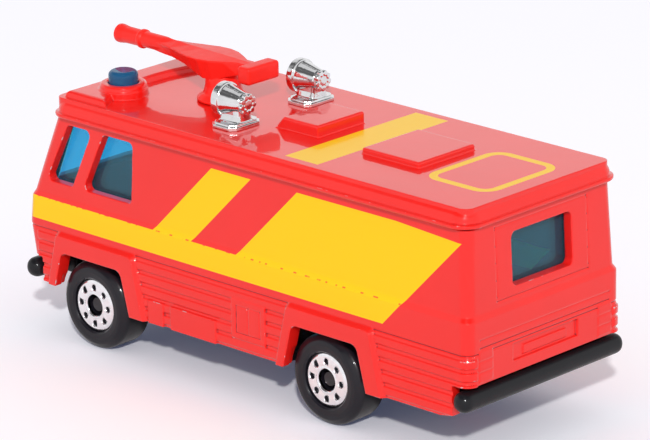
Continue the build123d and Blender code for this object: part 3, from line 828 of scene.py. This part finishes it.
    def build(self) -> Material:
        """Builds the enamel.

        Returns:
            The material.
        """
        shader = Shader("red_enamel")
        printed = shader.any_of(self.side_print(shader), self.roof_print(shader))
        deep_red = shade(self.red, self.tone.amount)
        red = shader.mix(shader.noise(self.tone), deep_red, self.red)
        colour = shader.mix(printed, red, self.yellow)
        crease = shader.crease()
        # Painted shade darkens the hollows and the line under the lip
        colour = shader.mix(self.painted_crease_shade(shader, crease), colour, self.crease_shade)
        chips = shader.all_of(
            shader.below(crease, self.chip_from, self.chip_blur),
            shader.above(shader.noise(self.chips), self.chip_share),
        )
        colour = shader.mix(chips, colour, self.metal)
        shader.set(Base_Color=colour, Roughness=self.roughness, Specular_IOR_Level=self.specular)
        gloss = shader.math("MULTIPLY_ADD", printed, -self.print_matt, 1.0)
        shader.set(Coat_Weight=gloss, Coat_Roughness=self.coat_roughness, Coat_IOR=self.coat_ior)
        return shader.relief(self.peel).material


@dataclass(frozen=True)
class Moulding:
    """Moulded plastic with a fine grain and faint handling marks."""

    name: str
    colour: Colour
    roughness: float
    coat: float
    grain: Wave = Wave(6.0, 3.0, 0.01)
    specular: float = 0.2
    coat_roughness: float = 0.08
    worn: Wave = Wave(0.35, 3.0, 1.3)
    worn_lift: float = 0.002
    marks: Wave = Wave(1.3, 3.0, 0.18)

    def build(self) -> Material:
        """Builds the plastic.

        Returns:
            The material.
        """
        shader = Shader(self.name)
        worn = tuple(c + self.worn_lift for c in shade(self.colour, self.worn.amount))
        worn = tuple(min(1.0, c) for c in worn)
        shader.set(Base_Color=shader.mix(shader.noise(self.worn), self.colour, worn))
        rough = shader.swing(self.marks, self.roughness - self.marks.amount / 2)
        shader.set(Roughness=rough, Specular_IOR_Level=self.specular)
        shader.set(Coat_Weight=self.coat, Coat_Roughness=self.coat_roughness)
        return shader.relief(self.grain).material


@dataclass(frozen=True)
class TintedClear:
    """Clear blue moulding of the windows and the beacon, whose dome gets a darker, less clear blue
    as painted shade.
    """

    colour: Colour = (0.09, 0.69, 0.98)
    clear: float = 0.94
    # Painted shade: the beacon dome's darker, less clear blue stands in for the dark seen through
    # its thick body
    dome_shaded_colour: Colour = (0.02, 0.15, 0.34)
    dome_clear: float = 0.45
    dome_from: float = 35.0
    dome_blur: float = 0.3
    ior: float = 1.4
    specular: float = 0.25
    roughness: float = 0.02
    tone: Wave = Wave(0.25, 1.0, 0.88)
    flow: Wave = Wave(0.4, 2.0, 0.012)

    def build(self) -> Material:
        """Builds the tinted clear plastic.

        Returns:
            The material.
        """
        shader = Shader("blue_glazing")
        deeper = shade(self.colour, self.tone.amount)
        pane = shader.mix(shader.noise(self.tone), deeper, self.colour)
        # Above dome_from the blue is painted darker as shade
        dome = shader.above(shader.axis("Z"), self.dome_from, self.dome_blur)
        shader.set(Base_Color=shader.mix(dome, pane, self.dome_shaded_colour))
        clear = shader.math("MULTIPLY_ADD", dome, self.dome_clear - self.clear, self.clear)
        shader.set(Transmission_Weight=clear, IOR=self.ior)
        shader.set(Roughness=self.roughness, Specular_IOR_Level=self.specular)
        return shader.relief(self.flow).material


@dataclass(frozen=True)
class Metal:
    """Metal with dulled patches and a faint unevenness."""

    name: str
    colour: Colour
    dulled: Wave
    roughness: float
    marks: Wave
    unevenness: Wave

    def build(self) -> Material:
        """Builds the metal.

        Returns:
            The material.
        """
        shader = Shader(self.name)
        dulled = shade(self.colour, self.dulled.amount)
        shader.set(Base_Color=shader.mix(shader.noise(self.dulled), self.colour, dulled))
        shader.set(Metallic=1.0, Roughness=shader.swing(self.marks, self.roughness))
        return shader.relief(self.unevenness).material


# Bright vacuum plating over plastic
PLATING = Metal(
    name="bright_plating",
    colour=(0.86, 0.86, 0.88),
    dulled=Wave(0.7, 3.0, 0.7),
    roughness=0.03,
    marks=Wave(1.8, 3.0, 0.12),
    unevenness=Wave(0.9, 2.0, 0.03),
)
# Silver foil stamped on the wheel faces
FOIL = Metal(
    name="stamped_foil",
    colour=(0.96, 0.95, 0.99),
    dulled=Wave(1.6, 3.0, 0.78),
    roughness=0.05,
    marks=Wave(3.0, 2.0, 0.16),
    unevenness=Wave(0.8, 3.0, 0.07),
)
# Wire of the axles, its colour darkened as painted shade for the dark inside the hubs
STEEL = Metal(
    name="axle_steel",
    colour=(0.07, 0.065, 0.07),
    dulled=Wave(3.0, 4.0, 0.7),
    roughness=0.34,
    marks=Wave(4.0, 2.0, 0.2),
    unevenness=Wave(5.0, 2.0, 0.02),
)
BASE_PLASTIC = Moulding("black_moulding", (0.006, 0.006, 0.008), 0.4, 0.3, specular=0.1)
CANNON_PLASTIC = Moulding(
    "red_moulding", (0.88, 0.016, 0.010), 0.38, 0.18, grain=Wave(3.0, 3.0, 0.006)
)
TYRE_PLASTIC = Moulding(
    "tyre_moulding", (0.008, 0.007, 0.011), 0.34, 0.35, grain=Wave(2.5, 3.0, 0.006), specular=0.12
)


# Sub-assemblies


@dataclass
class Shell:
    """Enamelled die-cast body, its edges softened by the thick paint."""

    enamel: Enamel = field(default_factory=Enamel)
    voxel: float = 0.105
    quick_voxel: float = 0.24
    triangles: int = 188_000
    # Triangles of a voxel skin to each grid cell that it passes
    cell_triangles: float = 2.4

    def build(self) -> None:
        """Builds the shell from the frame's own casting."""
        voxel = self.voxel
        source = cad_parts["body_shell"].data
        area = sum(face.area for face in source.polygons) / MM**2
        share = min(1.0, self.triangles / (self.cell_triangles * area / voxel**2))
        piece = Skin(voxel, share).wrap("shell_enamel", [source])
        map_creases(piece)
        mount(piece, "truck", self.enamel.build(), ["body_shell"])


@dataclass
class Glass:
    """Blue glazing insert with the beacon dome."""

    finish: TintedClear = field(default_factory=TintedClear)

    def build(self) -> None:
        """Dresses the insert of the frame."""
        dress("glazing", self.finish.build())


@dataclass
class Underbody:
    """Black moulded base with both bumpers."""

    skin: Skin = Skin(voxel=0.2, share=0.3)

    def build(self) -> None:
        """Builds the base from the frame's own moulding."""
        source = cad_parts["base_plate"].data
        piece = self.skin.wrap("base_moulding", [source])
        mount(piece, "truck", BASE_PLASTIC.build(), ["base_plate"])


@dataclass
class WaterCannon:
    """Red moulded roof cannon on its swivel stem."""

    skin: Skin = Skin(voxel=0.085, share=0.28, smoothing=4)
    facets: int = 56
    axis_x: float = 17.0
    axis_z: float = 40.75
    nozzle_tip: float = 37.05
    ring_x: float = 32.3
    pedestal_foot: float = 35.2
    deck_edge: float = 41.2
    # Rows: x, half width and height of the foot, half width at the edge, height of the ridge
    deck_rows: tuple[tuple[float, float, float, float, float], ...] = (
        (10.6, 1.00, 39.50, 1.05, 41.30),
        (13.2, 1.00, 39.40, 1.05, 41.35),
        (15.0, 1.50, 38.90, 2.10, 41.42),
        (16.8, 2.25, 38.30, 3.00, 41.48),
        (18.6, 2.35, 38.30, 3.42, 41.52),
        (20.6, 1.90, 38.70, 3.30, 41.56),
        (23.0, 1.40, 39.25, 2.55, 41.64),
        (25.5, 1.10, 39.62, 1.75, 41.76),
        (28.0, 0.90, 39.72, 1.20, 41.86),
        (30.0, 0.70, 39.85, 0.90, 41.84),
    )
    # Barrel, from the swivel's axis, then from the ring's middle, then from the nozzle's tip
    root_rows: tuple[Row, ...] = ((7.5, 0, 0), (7.5, 0.6, 0), (11.0, 1.1, 0))
    ring_rows: tuple[Row, ...] = (
        (-0.4, 1.12, 0.1), (-0.25, 1.36, 0.16), (0.25, 1.36, 0.16), (0.4, 1.16, 0.1),
    )
    mouth_rows: tuple[Row, ...] = (
        (-1.6, 1.18, 0.6), (-0.5, 1.34, 0.3), (0, 1.32, 0.16), (0, 0.9, 0.12),
        (-1.5, 0.8, 0.1), (-1.6, 0, 0),
    )
    # Pedestal, from the stem's lower end, then from the roof, then by height
    stem_rows: tuple[Row, ...] = ((0, 0, 0), (0, 2.1, 0), (0.55, 2.1, 0), (0.55, 1.45, 0))
    foot_rows: tuple[Row, ...] = (
        (0, 1.45, 0), (0, 3.6, 0.15), (0.35, 3.6, 0.2), (1.0, 2.75, 0.5),
    )
    column_rows: tuple[Row, ...] = (
        (37.2, 2.45, 1.0), (38.3, 2.35, 0.6), (39.2, 1.7, 0.4), (40.3, 1.4, 0.3), (40.6, 0, 0),
    )
    handle_low: tuple[float, float, float] = (9.02, -3.0, 39.1)
    handle_high: tuple[float, float, float] = (11.3, 3.05, 41.55)
    handle_edge: float = 0.42

    def deck(self) -> Mesh:
        """Flat-sided deck with a ridge along its top.

        Returns:
            Mesh in place.
        """
        work = bmesh.new()
        rings = []
        for x, foot_half, foot_z, edge_half, ridge in self.deck_rows:
            outline = [(-foot_half, foot_z), (-edge_half, self.deck_edge), (0, ridge)]
            outline += [(edge_half, self.deck_edge), (foot_half, foot_z)]
            rings.append([work.verts.new((x * MM, y * MM, z * MM)) for y, z in outline])
        skin_rings(work, rings)
        bmesh.ops.triangulate(work, faces=work.faces)
        return finish_mesh("deck", work)

    def barrel(self) -> Mesh:
        """Nozzle with its flared mouth and the ring behind it.

        Returns:
            Mesh in place.
        """
        rows = [
            *self.root_rows,
            *shifted(self.ring_rows, self.ring_x - self.axis_x),
            *shifted(self.mouth_rows, self.nozzle_tip - self.axis_x),
        ]
        place = Matrix.Translation((self.axis_x * MM, 0, self.axis_z * MM))
        turn = Matrix.Rotation(math.pi / 2, 4, "Y")
        return finish_mesh("barrel", lathe(rows, self.facets), place @ turn)

    def pedestal(self) -> Mesh:
        """Waisted column with its foot and the stem below the roof.

        Returns:
            Mesh in place.
        """
        low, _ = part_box("cannon")
        rows = [
            *shifted(self.stem_rows, low.z / MM),
            *shifted(self.foot_rows, self.pedestal_foot),
            *self.column_rows,
        ]
        place = Matrix.Translation((self.axis_x * MM, 0, 0))
        return finish_mesh("pedestal", lathe(rows, self.facets), place)

    def handle(self) -> Mesh:
        """Crossbar behind the deck."""
        return finish_mesh("handle", soft_box(self.handle_low, self.handle_high, self.handle_edge))

    def build(self) -> None:
        """Builds the cannon as one moulding."""
        forms = [self.deck(), self.barrel(), self.pedestal(), self.handle()]
        piece = self.skin.wrap("cannon_moulding", forms)
        mount(piece, "cannon", CANNON_PLASTIC.build(), ["cannon"])


@dataclass
class Pins:
    """Ring of small round pins, as a tree of geometry nodes."""

    material: Material
    count: int
    ring_radius: float
    pin_radius: float
    length: float
    facets: int = 20

    def tree(self) -> tuple[bpy.types.GeometryNodeTree, dict[str, float]]:
        """Builds the tree with its sizes as named inputs.

        Returns:
            The node group, and the value of each input by its socket's identifier.
        """
        group = bpy.data.node_groups.new("pins", "GeometryNodeTree")
        values = {}
        for label, kind, value in (
            ("Count", "NodeSocketInt", self.count),
            ("Ring Radius", "NodeSocketFloat", self.ring_radius * MM),
            ("Pin Radius", "NodeSocketFloat", self.pin_radius * MM),
            ("Length", "NodeSocketFloat", self.length * MM),
        ):
            socket = group.interface.new_socket(label, in_out="INPUT", socket_type=kind)
            socket.default_value = value
            values[socket.identifier] = value
        group.interface.new_socket("Geometry", in_out="OUTPUT", socket_type="NodeSocketGeometry")
        source, target, ring, pin, place, real, dressed = (
            group.nodes.new(kind)
            for kind in (
                "NodeGroupInput", "NodeGroupOutput", "GeometryNodeMeshCircle",
                "GeometryNodeMeshCylinder", "GeometryNodeInstanceOnPoints",
                "GeometryNodeRealizeInstances", "GeometryNodeSetMaterial",
            )
        )
        pin.inputs["Vertices"].default_value = self.facets
        dressed.inputs["Material"].default_value = self.material
        for start, end in (
            (source.outputs["Count"], ring.inputs["Vertices"]),
            (source.outputs["Ring Radius"], ring.inputs["Radius"]),
            (source.outputs["Pin Radius"], pin.inputs["Radius"]),
            (source.outputs["Length"], pin.inputs["Depth"]),
            (ring.outputs["Mesh"], place.inputs["Points"]),
            (pin.outputs["Mesh"], place.inputs["Instance"]),
            (place.outputs["Instances"], real.inputs["Geometry"]),
            (real.outputs["Geometry"], dressed.inputs["Geometry"]),
            (dressed.outputs["Geometry"], target.inputs["Geometry"]),
        ):
            group.links.new(start, end)
        return group, values

    def object(self, place: Matrix) -> Object:
        """The pins as one object.

        Args:
            place: Where the ring stands, its axis along local Z.

        Returns:
            Object that holds the pins.
        """
        piece = link("pins", bpy.data.meshes.new("pins"))
        modifier = piece.modifiers.new("Pins", "NODES")
        modifier.node_group, values = self.tree()
        for identifier, value in values.items():
            modifier[identifier] = value
        bake(piece)
        piece.data.transform(place)
        return piece


@dataclass
class Spotlight:
    """Plated roof spotlight on its stepped foot."""

    side: Side
    material: Material
    skin: Skin = Skin(voxel=0.07, share=0.35)
    x: float = 7.4
    y: float = 7.2
    axis_z: float = 38.4
    rim_x: float = 9.9
    tail_x: float = 4.8
    roof_z: float = 35.1
    drum_facets: int = 64
    # Drum, from its tail, then from its rim
    tail_rows: tuple[Row, ...] = (
        (0.15, 0, 0), (0.15, 0.55, 0.1), (0.3, 1.0, 0.05), (0.3, 1.3, 0.22),
        (0.85, 1.3, 0.12), (0.9, 1.42, 0.08),
    )
    rim_rows: tuple[Row, ...] = (
        (-1.2, 2.12, 0.06), (-1.15, 2.38, 0.2), (-0.12, 2.38, 0.15), (0, 2.2, 0.1),
        (-0.1, 2.05, 0.1), (-0.7, 1.85, 0.3), (-0.9, 0, 0),
    )
    # Rows: half length, half width, corner cut, foot height, head height
    plates: tuple[tuple[float, float, float, float, float], ...] = (
        (2.3, 3.0, 0.9, 0.02, 0.5),
        (2.05, 2.7, 0.85, 0.4, 0.8),
    )
    # Rows: x from the middle, height, half length, half width, squareness
    neck_rows: tuple[tuple[float, float, float, float, float], ...] = (
        (0.0, 0.7, 1.95, 2.2, 3.4),
        (0.0, 0.95, 1.9, 1.6, 4.0),
        (0.1, 1.7, 1.9, 1.35, 5.0),
        (0.1, 2.3, 1.9, 1.35, 5.0),
        (0.1, 3.3, 1.8, 1.3, 4.0),
    )
    neck_facets: int = 40
    peg_radius: float = 0.68
    peg_rise: float = 0.2
    peg_facets: int = 32
    pin_count: int = 9
    pin_ring: float = 1.12
    pin_radius: float = 0.37
    pin_length: float = 0.56
    pin_inset: float = 0.12

    @property
    def node(self) -> str:
        """Name of the frame's node for this spotlight."""
        return f"spotlight_{self.side.name.lower()}"

    def at(self, x: float, z: float) -> Matrix:
        """Place on the spotlight's own midplane, x and z in millimetres."""
        return Matrix.Translation((x * MM, self.side.value * self.y * MM, z * MM))

    def drum(self) -> Mesh:
        """Drum with its rim, dished face and flanged tail cap.

        Returns:
            Mesh in place.
        """
        rows = [
            *shifted(self.tail_rows, self.tail_x - self.x),
            *shifted(self.rim_rows, self.rim_x - self.x),
        ]
        place = self.at(self.x, self.axis_z) @ Matrix.Rotation(math.pi / 2, 4, "Y")
        return finish_mesh("drum", lathe(rows, self.drum_facets), place)

    def foot_plates(self) -> list[Mesh]:
        """Stepped plates of the foot with cut corners.

        Returns:
            Meshes in place.
        """
        steps = []
        for half_x, half_y, cut, foot_z, head_z in self.plates:
            work = bmesh.new()
            outline = [
                (half_x, half_y - cut), (half_x - cut, half_y), (cut - half_x, half_y),
                (-half_x, half_y - cut), (-half_x, cut - half_y), (cut - half_x, -half_y),
                (half_x - cut, -half_y), (half_x, cut - half_y),
            ]
            z = (self.roof_z + foot_z) * MM
            cap = work.faces.new([work.verts.new((x * MM, y * MM, z)) for x, y in outline])
            raised = bmesh.ops.extrude_face_region(work, geom=[cap])["geom"]
            corners = [v for v in raised if isinstance(v, bmesh.types.BMVert)]
            bmesh.ops.translate(work, vec=(0, 0, (head_z - foot_z) * MM), verts=corners)
            steps.append(finish_mesh("plate", work, self.at(self.x, 0)))
        return steps

    def neck(self) -> Mesh:
        """Neck that flares from the foot into the drum."""
        loft = superellipse_loft(self.neck_rows, self.neck_facets)
        return finish_mesh("neck", loft, self.at(self.x, self.roof_z))

    def peg(self) -> Mesh:
        """Peg that holds the foot in the roof.

        Returns:
            Mesh in place.
        """
        low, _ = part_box(self.node)
        foot, head = low.z / MM, self.roof_z + self.peg_rise
        rows = [(foot, 0, 0), (foot, self.peg_radius, 0), (head, self.peg_radius, 0), (head, 0, 0)]
        return finish_mesh("peg", lathe(rows, self.peg_facets), self.at(self.x, 0))

    def tail_pins(self) -> Mesh:
        """Ring of small pins round the tail cap.

        Returns:
            Mesh in place.
        """
        sizes = (self.pin_count, self.pin_ring, self.pin_radius, self.pin_length)
        middle_x = self.tail_x + self.pin_inset + self.pin_length / 2
        place = self.at(middle_x, self.axis_z) @ Matrix.Rotation(math.pi / 2, 4, "Y")
        piece = Pins(self.material, *sizes).object(place)
        mesh = piece.data
        bpy.data.objects.remove(piece)
        return mesh

    def build(self) -> None:
        """Builds the spotlight as one plated moulding."""
        forms = [self.drum(), self.tail_pins(), *self.foot_plates(), self.neck(), self.peg()]
        piece = self.skin.wrap(f"{self.node}_plated", forms)
        mount(piece, "truck", self.material, [self.node])


@dataclass
class RoadWheel:
    """Moulded wheel with its tyre, foil disc and hub hole."""

    station: Station
    side: Side
    tyre_material: Material
    foil_material: Material
    tyre_radius: float = 6.25
    disc_radius: float = 3.72
    disc_inset: float = 0.06
    disc_depth: float = 0.3
    hub_radius: float = 1.5
    hub_depth: float = 2.4
    bore_radius: float = 0.85
    # Tyre, from its inner face and tread, then from its outer face and tread
    inner_rows: tuple[Row, ...] = ((0, -1.05, 0.2), (0.525, 0, 0.6))
    outer_rows: tuple[Row, ...] = ((-0.7875, 0, 1.0), (-0.06, -0.8925, 0.6), (0, -1.45, 0.5))
    # Seat of the disc, from the outer face and the disc's rim
    seat_rows: tuple[Row, ...] = ((-0.08, 0.32, 0.15), (-0.3, 0.1, 0.1), (-0.8, 0.1, 0.1))
    seat_depth: float = 0.85
    seat_rounding: float = 0.05
    tyre_facets: int = 112
    tyre_arc: int = 6
    # Disc, from its face and rim, then from its face and hub, then its back from the rim
    rim_rows: tuple[Row, ...] = ((-0.45, 0, 0), (-0.2, 0, 0.1), (0, -0.35, 0.2), (0.04, -1.1, 0.4))
    hub_rows: tuple[Row, ...] = (
        (-0.04, 0.42, 0.15), (0.06, 0.2, 0.1), (-0.12, 0, 0.1), (-0.7, 0, 0.05), (-0.7, 0.3, 0.05),
    )
    back_rows: tuple[Row, ...] = ((-0.5, -1.2, 0.1),)
    disc_facets: int = 96
    disc_arc: int = 4
    hole_count: int = 8
    hole_ring: float = 2.6
    hole_radius: float = 0.47
    hole_depth: float = 2.0

    @property
    def node(self) -> str:
        """Name of the frame's node and body for this wheel."""
        return f"wheel_{self.station.value}_{self.side.name.lower()}"

    def place(self) -> Matrix:
        """Frame of the wheel with local Z outwards along its axle.

        Returns:
            Placement whose origin is the wheel's outer face.
        """
        low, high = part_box(self.node)
        middle = (low + high) / 2
        outer_y = high.y if self.side is Side.LEFT else low.y
        turn = Matrix.Rotation(-self.side.value * math.pi / 2, 4, "X")
        return Matrix.Translation((middle.x, outer_y, middle.z)) @ turn

    def tyre(self) -> Object:
        """Tyre and hub in one black moulding.

        Returns:
            The piece.
        """
        low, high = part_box(self.node)
        width = (high.y - low.y) / MM
        rows = [
            (-width, self.bore_radius, 0),
            *shifted(self.inner_rows, -width, self.tyre_radius),
            *shifted(self.outer_rows, 0, self.tyre_radius),
            *shifted(self.seat_rows, 0, self.disc_radius),
            (-self.seat_depth, self.hub_radius, self.seat_rounding),
            (-self.hub_depth, self.hub_radius, self.seat_rounding),
            (-self.hub_depth, self.bore_radius, 0),
        ]
        work = lathe(rows, self.tyre_facets, self.tyre_arc)
        return link(f"{self.node}_tyre", finish_mesh("tyre", work, self.place()))

    def disc(self) -> Object:
        """Silver disc with its ring of holes.

        Returns:
            The piece.
        """
        face, rim = -self.disc_depth, self.disc_radius - self.disc_inset
        rows = [
            *shifted(self.rim_rows, face, rim),
            *shifted(self.hub_rows, face, self.hub_radius),
            *shifted(self.back_rows, face, rim),
        ]
        work = lathe(rows, self.disc_facets, self.disc_arc)
        piece = link(f"{self.node}_disc", finish_mesh("disc", work, self.place()))
        sizes = (self.hole_count, self.hole_ring, self.hole_radius, self.hole_depth)
        punches = Pins(self.foil_material, *sizes).object(self.place())
        cut = piece.modifiers.new("Holes", "BOOLEAN")
        cut.operation = "DIFFERENCE"
        cut.solver = "EXACT"
        cut.object = punches
        bake(piece)
        bpy.data.objects.remove(punches)
        shade_smooth(piece.data)
        piece.modifiers.new("Edges", "WEIGHTED_NORMAL")
        return piece

    def build(self) -> None:
        """Builds the wheel and fixes it to its own body."""
        mount(self.tyre(), self.node, self.tyre_material, [self.node])
        mount(self.disc(), self.node, self.foil_material)


@dataclass
class Running:
    """Axles and the four wheels."""

    def build(self) -> None:
        """Builds every wheel and dresses the axles."""
        tyre, foil, steel = TYRE_PLASTIC.build(), FOIL.build(), STEEL.build()
        for station in Station:
            dress(f"axle_{station.value}", steel)
            for side in Side:
                RoadWheel(station, side, tyre, foil).build()


@dataclass
class Studio:
    """Pale floor, soft lights and the camera at the photograph's place."""

    azimuth: float = 224.004
    elevation: float = 18.510
    roll: float = -0.917
    distance: float = 591.411
    target: tuple[float, float, float] = (0.174, -2.075, 20.973)
    lens: float = 243.25
    # Nearest and furthest that the camera sees, in metres
    clip: Span = (0.01, 20.0)
    key_azimuth: float = 224.2
    key_elevation: float = 31.8
    key_distance: float = 3000.0
    key_aim_z: float = 20.0
    key_size: float = 130.0
    key_power: float = 56.0
    ambient: float = 0.66
    surround: float = 1.0
    dusk: float = 0.13
    dusk_from: float = 28.0
    dusk_to: float = 41.0
    patch_scale: float = 2.6
    patch_from: Span = (0.5, 0.6)
    patch_level: float = 0.8
    floor_half: float = 3000.0
    floor_colour: Colour = (0.78, 0.77, 0.82)
    floor_tone: Wave = Wave(0.01, 2.0, 1.04)
    floor_roughness: float = 0.6
    seen_floor: Colour = (1.0, 0.98, 1.0)
    paper_glow: Colour = (0.02, 0.03, 0.07)

    @staticmethod
    def direction(azimuth: float, elevation: float) -> Vector:
        """Unit vector from the truck towards a place on the sky.

        Args:
            azimuth: Degrees; 0 looks along +Y.
            elevation: Degrees above the floor.

        Returns:
            The unit vector.
        """
        a, e = math.radians(azimuth), math.radians(elevation)
        return Vector((math.sin(a) * math.cos(e), -math.cos(a) * math.cos(e), math.sin(e)))

    def camera(self) -> None:
        """Puts the camera where the photograph was taken from."""
        back = self.direction(self.azimuth, self.elevation)
        right = (-back).cross(Vector((0, 0, 1))).normalized()
        up = back.cross(right)
        cos, sin = math.cos(math.radians(self.roll)), math.sin(math.radians(self.roll))
        turned_right, turned_up = right * cos + up * sin, up * cos - right * sin
        place = Matrix((turned_right, turned_up, back)).transposed().to_4x4()
        place.translation = (Vector(self.target) + back * self.distance) * MM
        data = bpy.data.cameras.new("camera")
        data.lens = self.lens
        data.clip_start, data.clip_end = self.clip
        camera = bpy.data.objects.new("camera", data)
        bpy.context.scene.collection.objects.link(camera)
        camera.matrix_world = place
        bpy.context.scene.camera = camera

    def key_lamp(self) -> None:
        """Adds the soft square lamp beside the camera, turned to the truck."""
        data = bpy.data.lights.new("key", "AREA")
        data.energy = self.key_power
        data.size = self.key_size * MM
        lamp = bpy.data.objects.new("key", data)
        bpy.context.scene.collection.objects.link(lamp)
        towards = self.direction(self.key_azimuth, self.key_elevation)
        place = towards.to_track_quat("Z", "Y").to_matrix().to_4x4()
        aim = Vector((0, 0, self.key_aim_z * MM))
        place.translation = towards * self.key_distance * MM + aim
        lamp.matrix_world = place

    def world(self) -> None:
        """White surroundings low down, dark ones overhead, and a softer level to light by."""
        world = bpy.data.worlds.new("surround")
        bpy.context.scene.world = world
        world.use_nodes = True
        tree = world.node_tree
        level = tree.nodes["Background"]
        rays = tree.nodes.new("ShaderNodeLightPath")
        place = tree.nodes.new("ShaderNodeTexCoord").outputs["Generated"]
        split = tree.nodes.new("ShaderNodeSeparateXYZ")
        tree.links.new(place, split.inputs[0])
        # Overhead the surroundings are patchy, as in a room
        patches = tree.nodes.new("ShaderNodeTexNoise")
        patches.inputs["Scale"].default_value = self.patch_scale
        tree.links.new(place, patches.inputs["Vector"])
        levels = (self.dusk, self.patch_level)
        overhead = smooth_step(tree, patches.outputs["Fac"], self.patch_from, levels)
        heights = [math.sin(math.radians(angle)) for angle in (self.dusk_from, self.dusk_to)]
        sky = smooth_step(tree, split.outputs["Z"], heights, (self.surround, overhead))
        strength: Given = self.ambient
        for ray, value in (
            ("Is Transmission Ray", self.surround),
            ("Is Glossy Ray", sky),
            ("Is Camera Ray", self.surround),
        ):
            strength = blend(tree, Blend.NUMBER, rays.outputs[ray], strength, value)
        feed(tree, level.inputs["Strength"], strength)
        level.inputs["Color"].default_value = (1, 1, 1, 1)

    def floor(self) -> None:
        """Lays a pale floor that looks white and keeps the truck's shadow."""
        work = bmesh.new()
        half = self.floor_half * MM
        bmesh.ops.create_grid(work, x_segments=1, y_segments=1, size=half)
        shader = Shader("floor_paper")
        paler = shade(self.floor_colour, self.floor_tone.amount)
        lit = shader.mix(shader.noise(self.floor_tone), self.floor_colour, paler)
        rays = shader.tree.nodes.new("ShaderNodeLightPath").outputs
        kinds = ("Camera", "Glossy", "Transmission")
        seen = shader.any_of(*(rays[f"Is {kind} Ray"] for kind in kinds))
        shader.set(Base_Color=shader.mix(seen, lit, self.seen_floor))
        shader.set(Roughness=self.floor_roughness, Specular_IOR_Level=0.0)
        shader.set(Emission_Color=self.paper_glow, Emission_Strength=rays["Is Camera Ray"])
        floor = link("floor", finish_mesh("floor", work))
        floor.data.materials.append(shader.material)

    def build(self) -> None:
        """Builds the studio."""
        bpy.context.scene.view_settings.view_transform = "Standard"
        self.camera()
        self.world()
        self.floor()
        self.key_lamp()
        LOG.info("studio ready")


def main() -> None:
    """Builds the studio and every sub-assembly in order."""
    logging.basicConfig(level=logging.INFO, format="%(name)s %(message)s")
    Studio().build()
    plating = PLATING.build()
    steps: tuple[Callable[[], None], ...] = (
        Shell().build,
        Glass().build,
        Underbody().build,
        WaterCannon().build,
        Spotlight(Side.LEFT, plating).build,
        Spotlight(Side.RIGHT, plating).build,
        Running().build,
    )
    for step in steps:
        step()


if __name__ == "__main__":
    main()
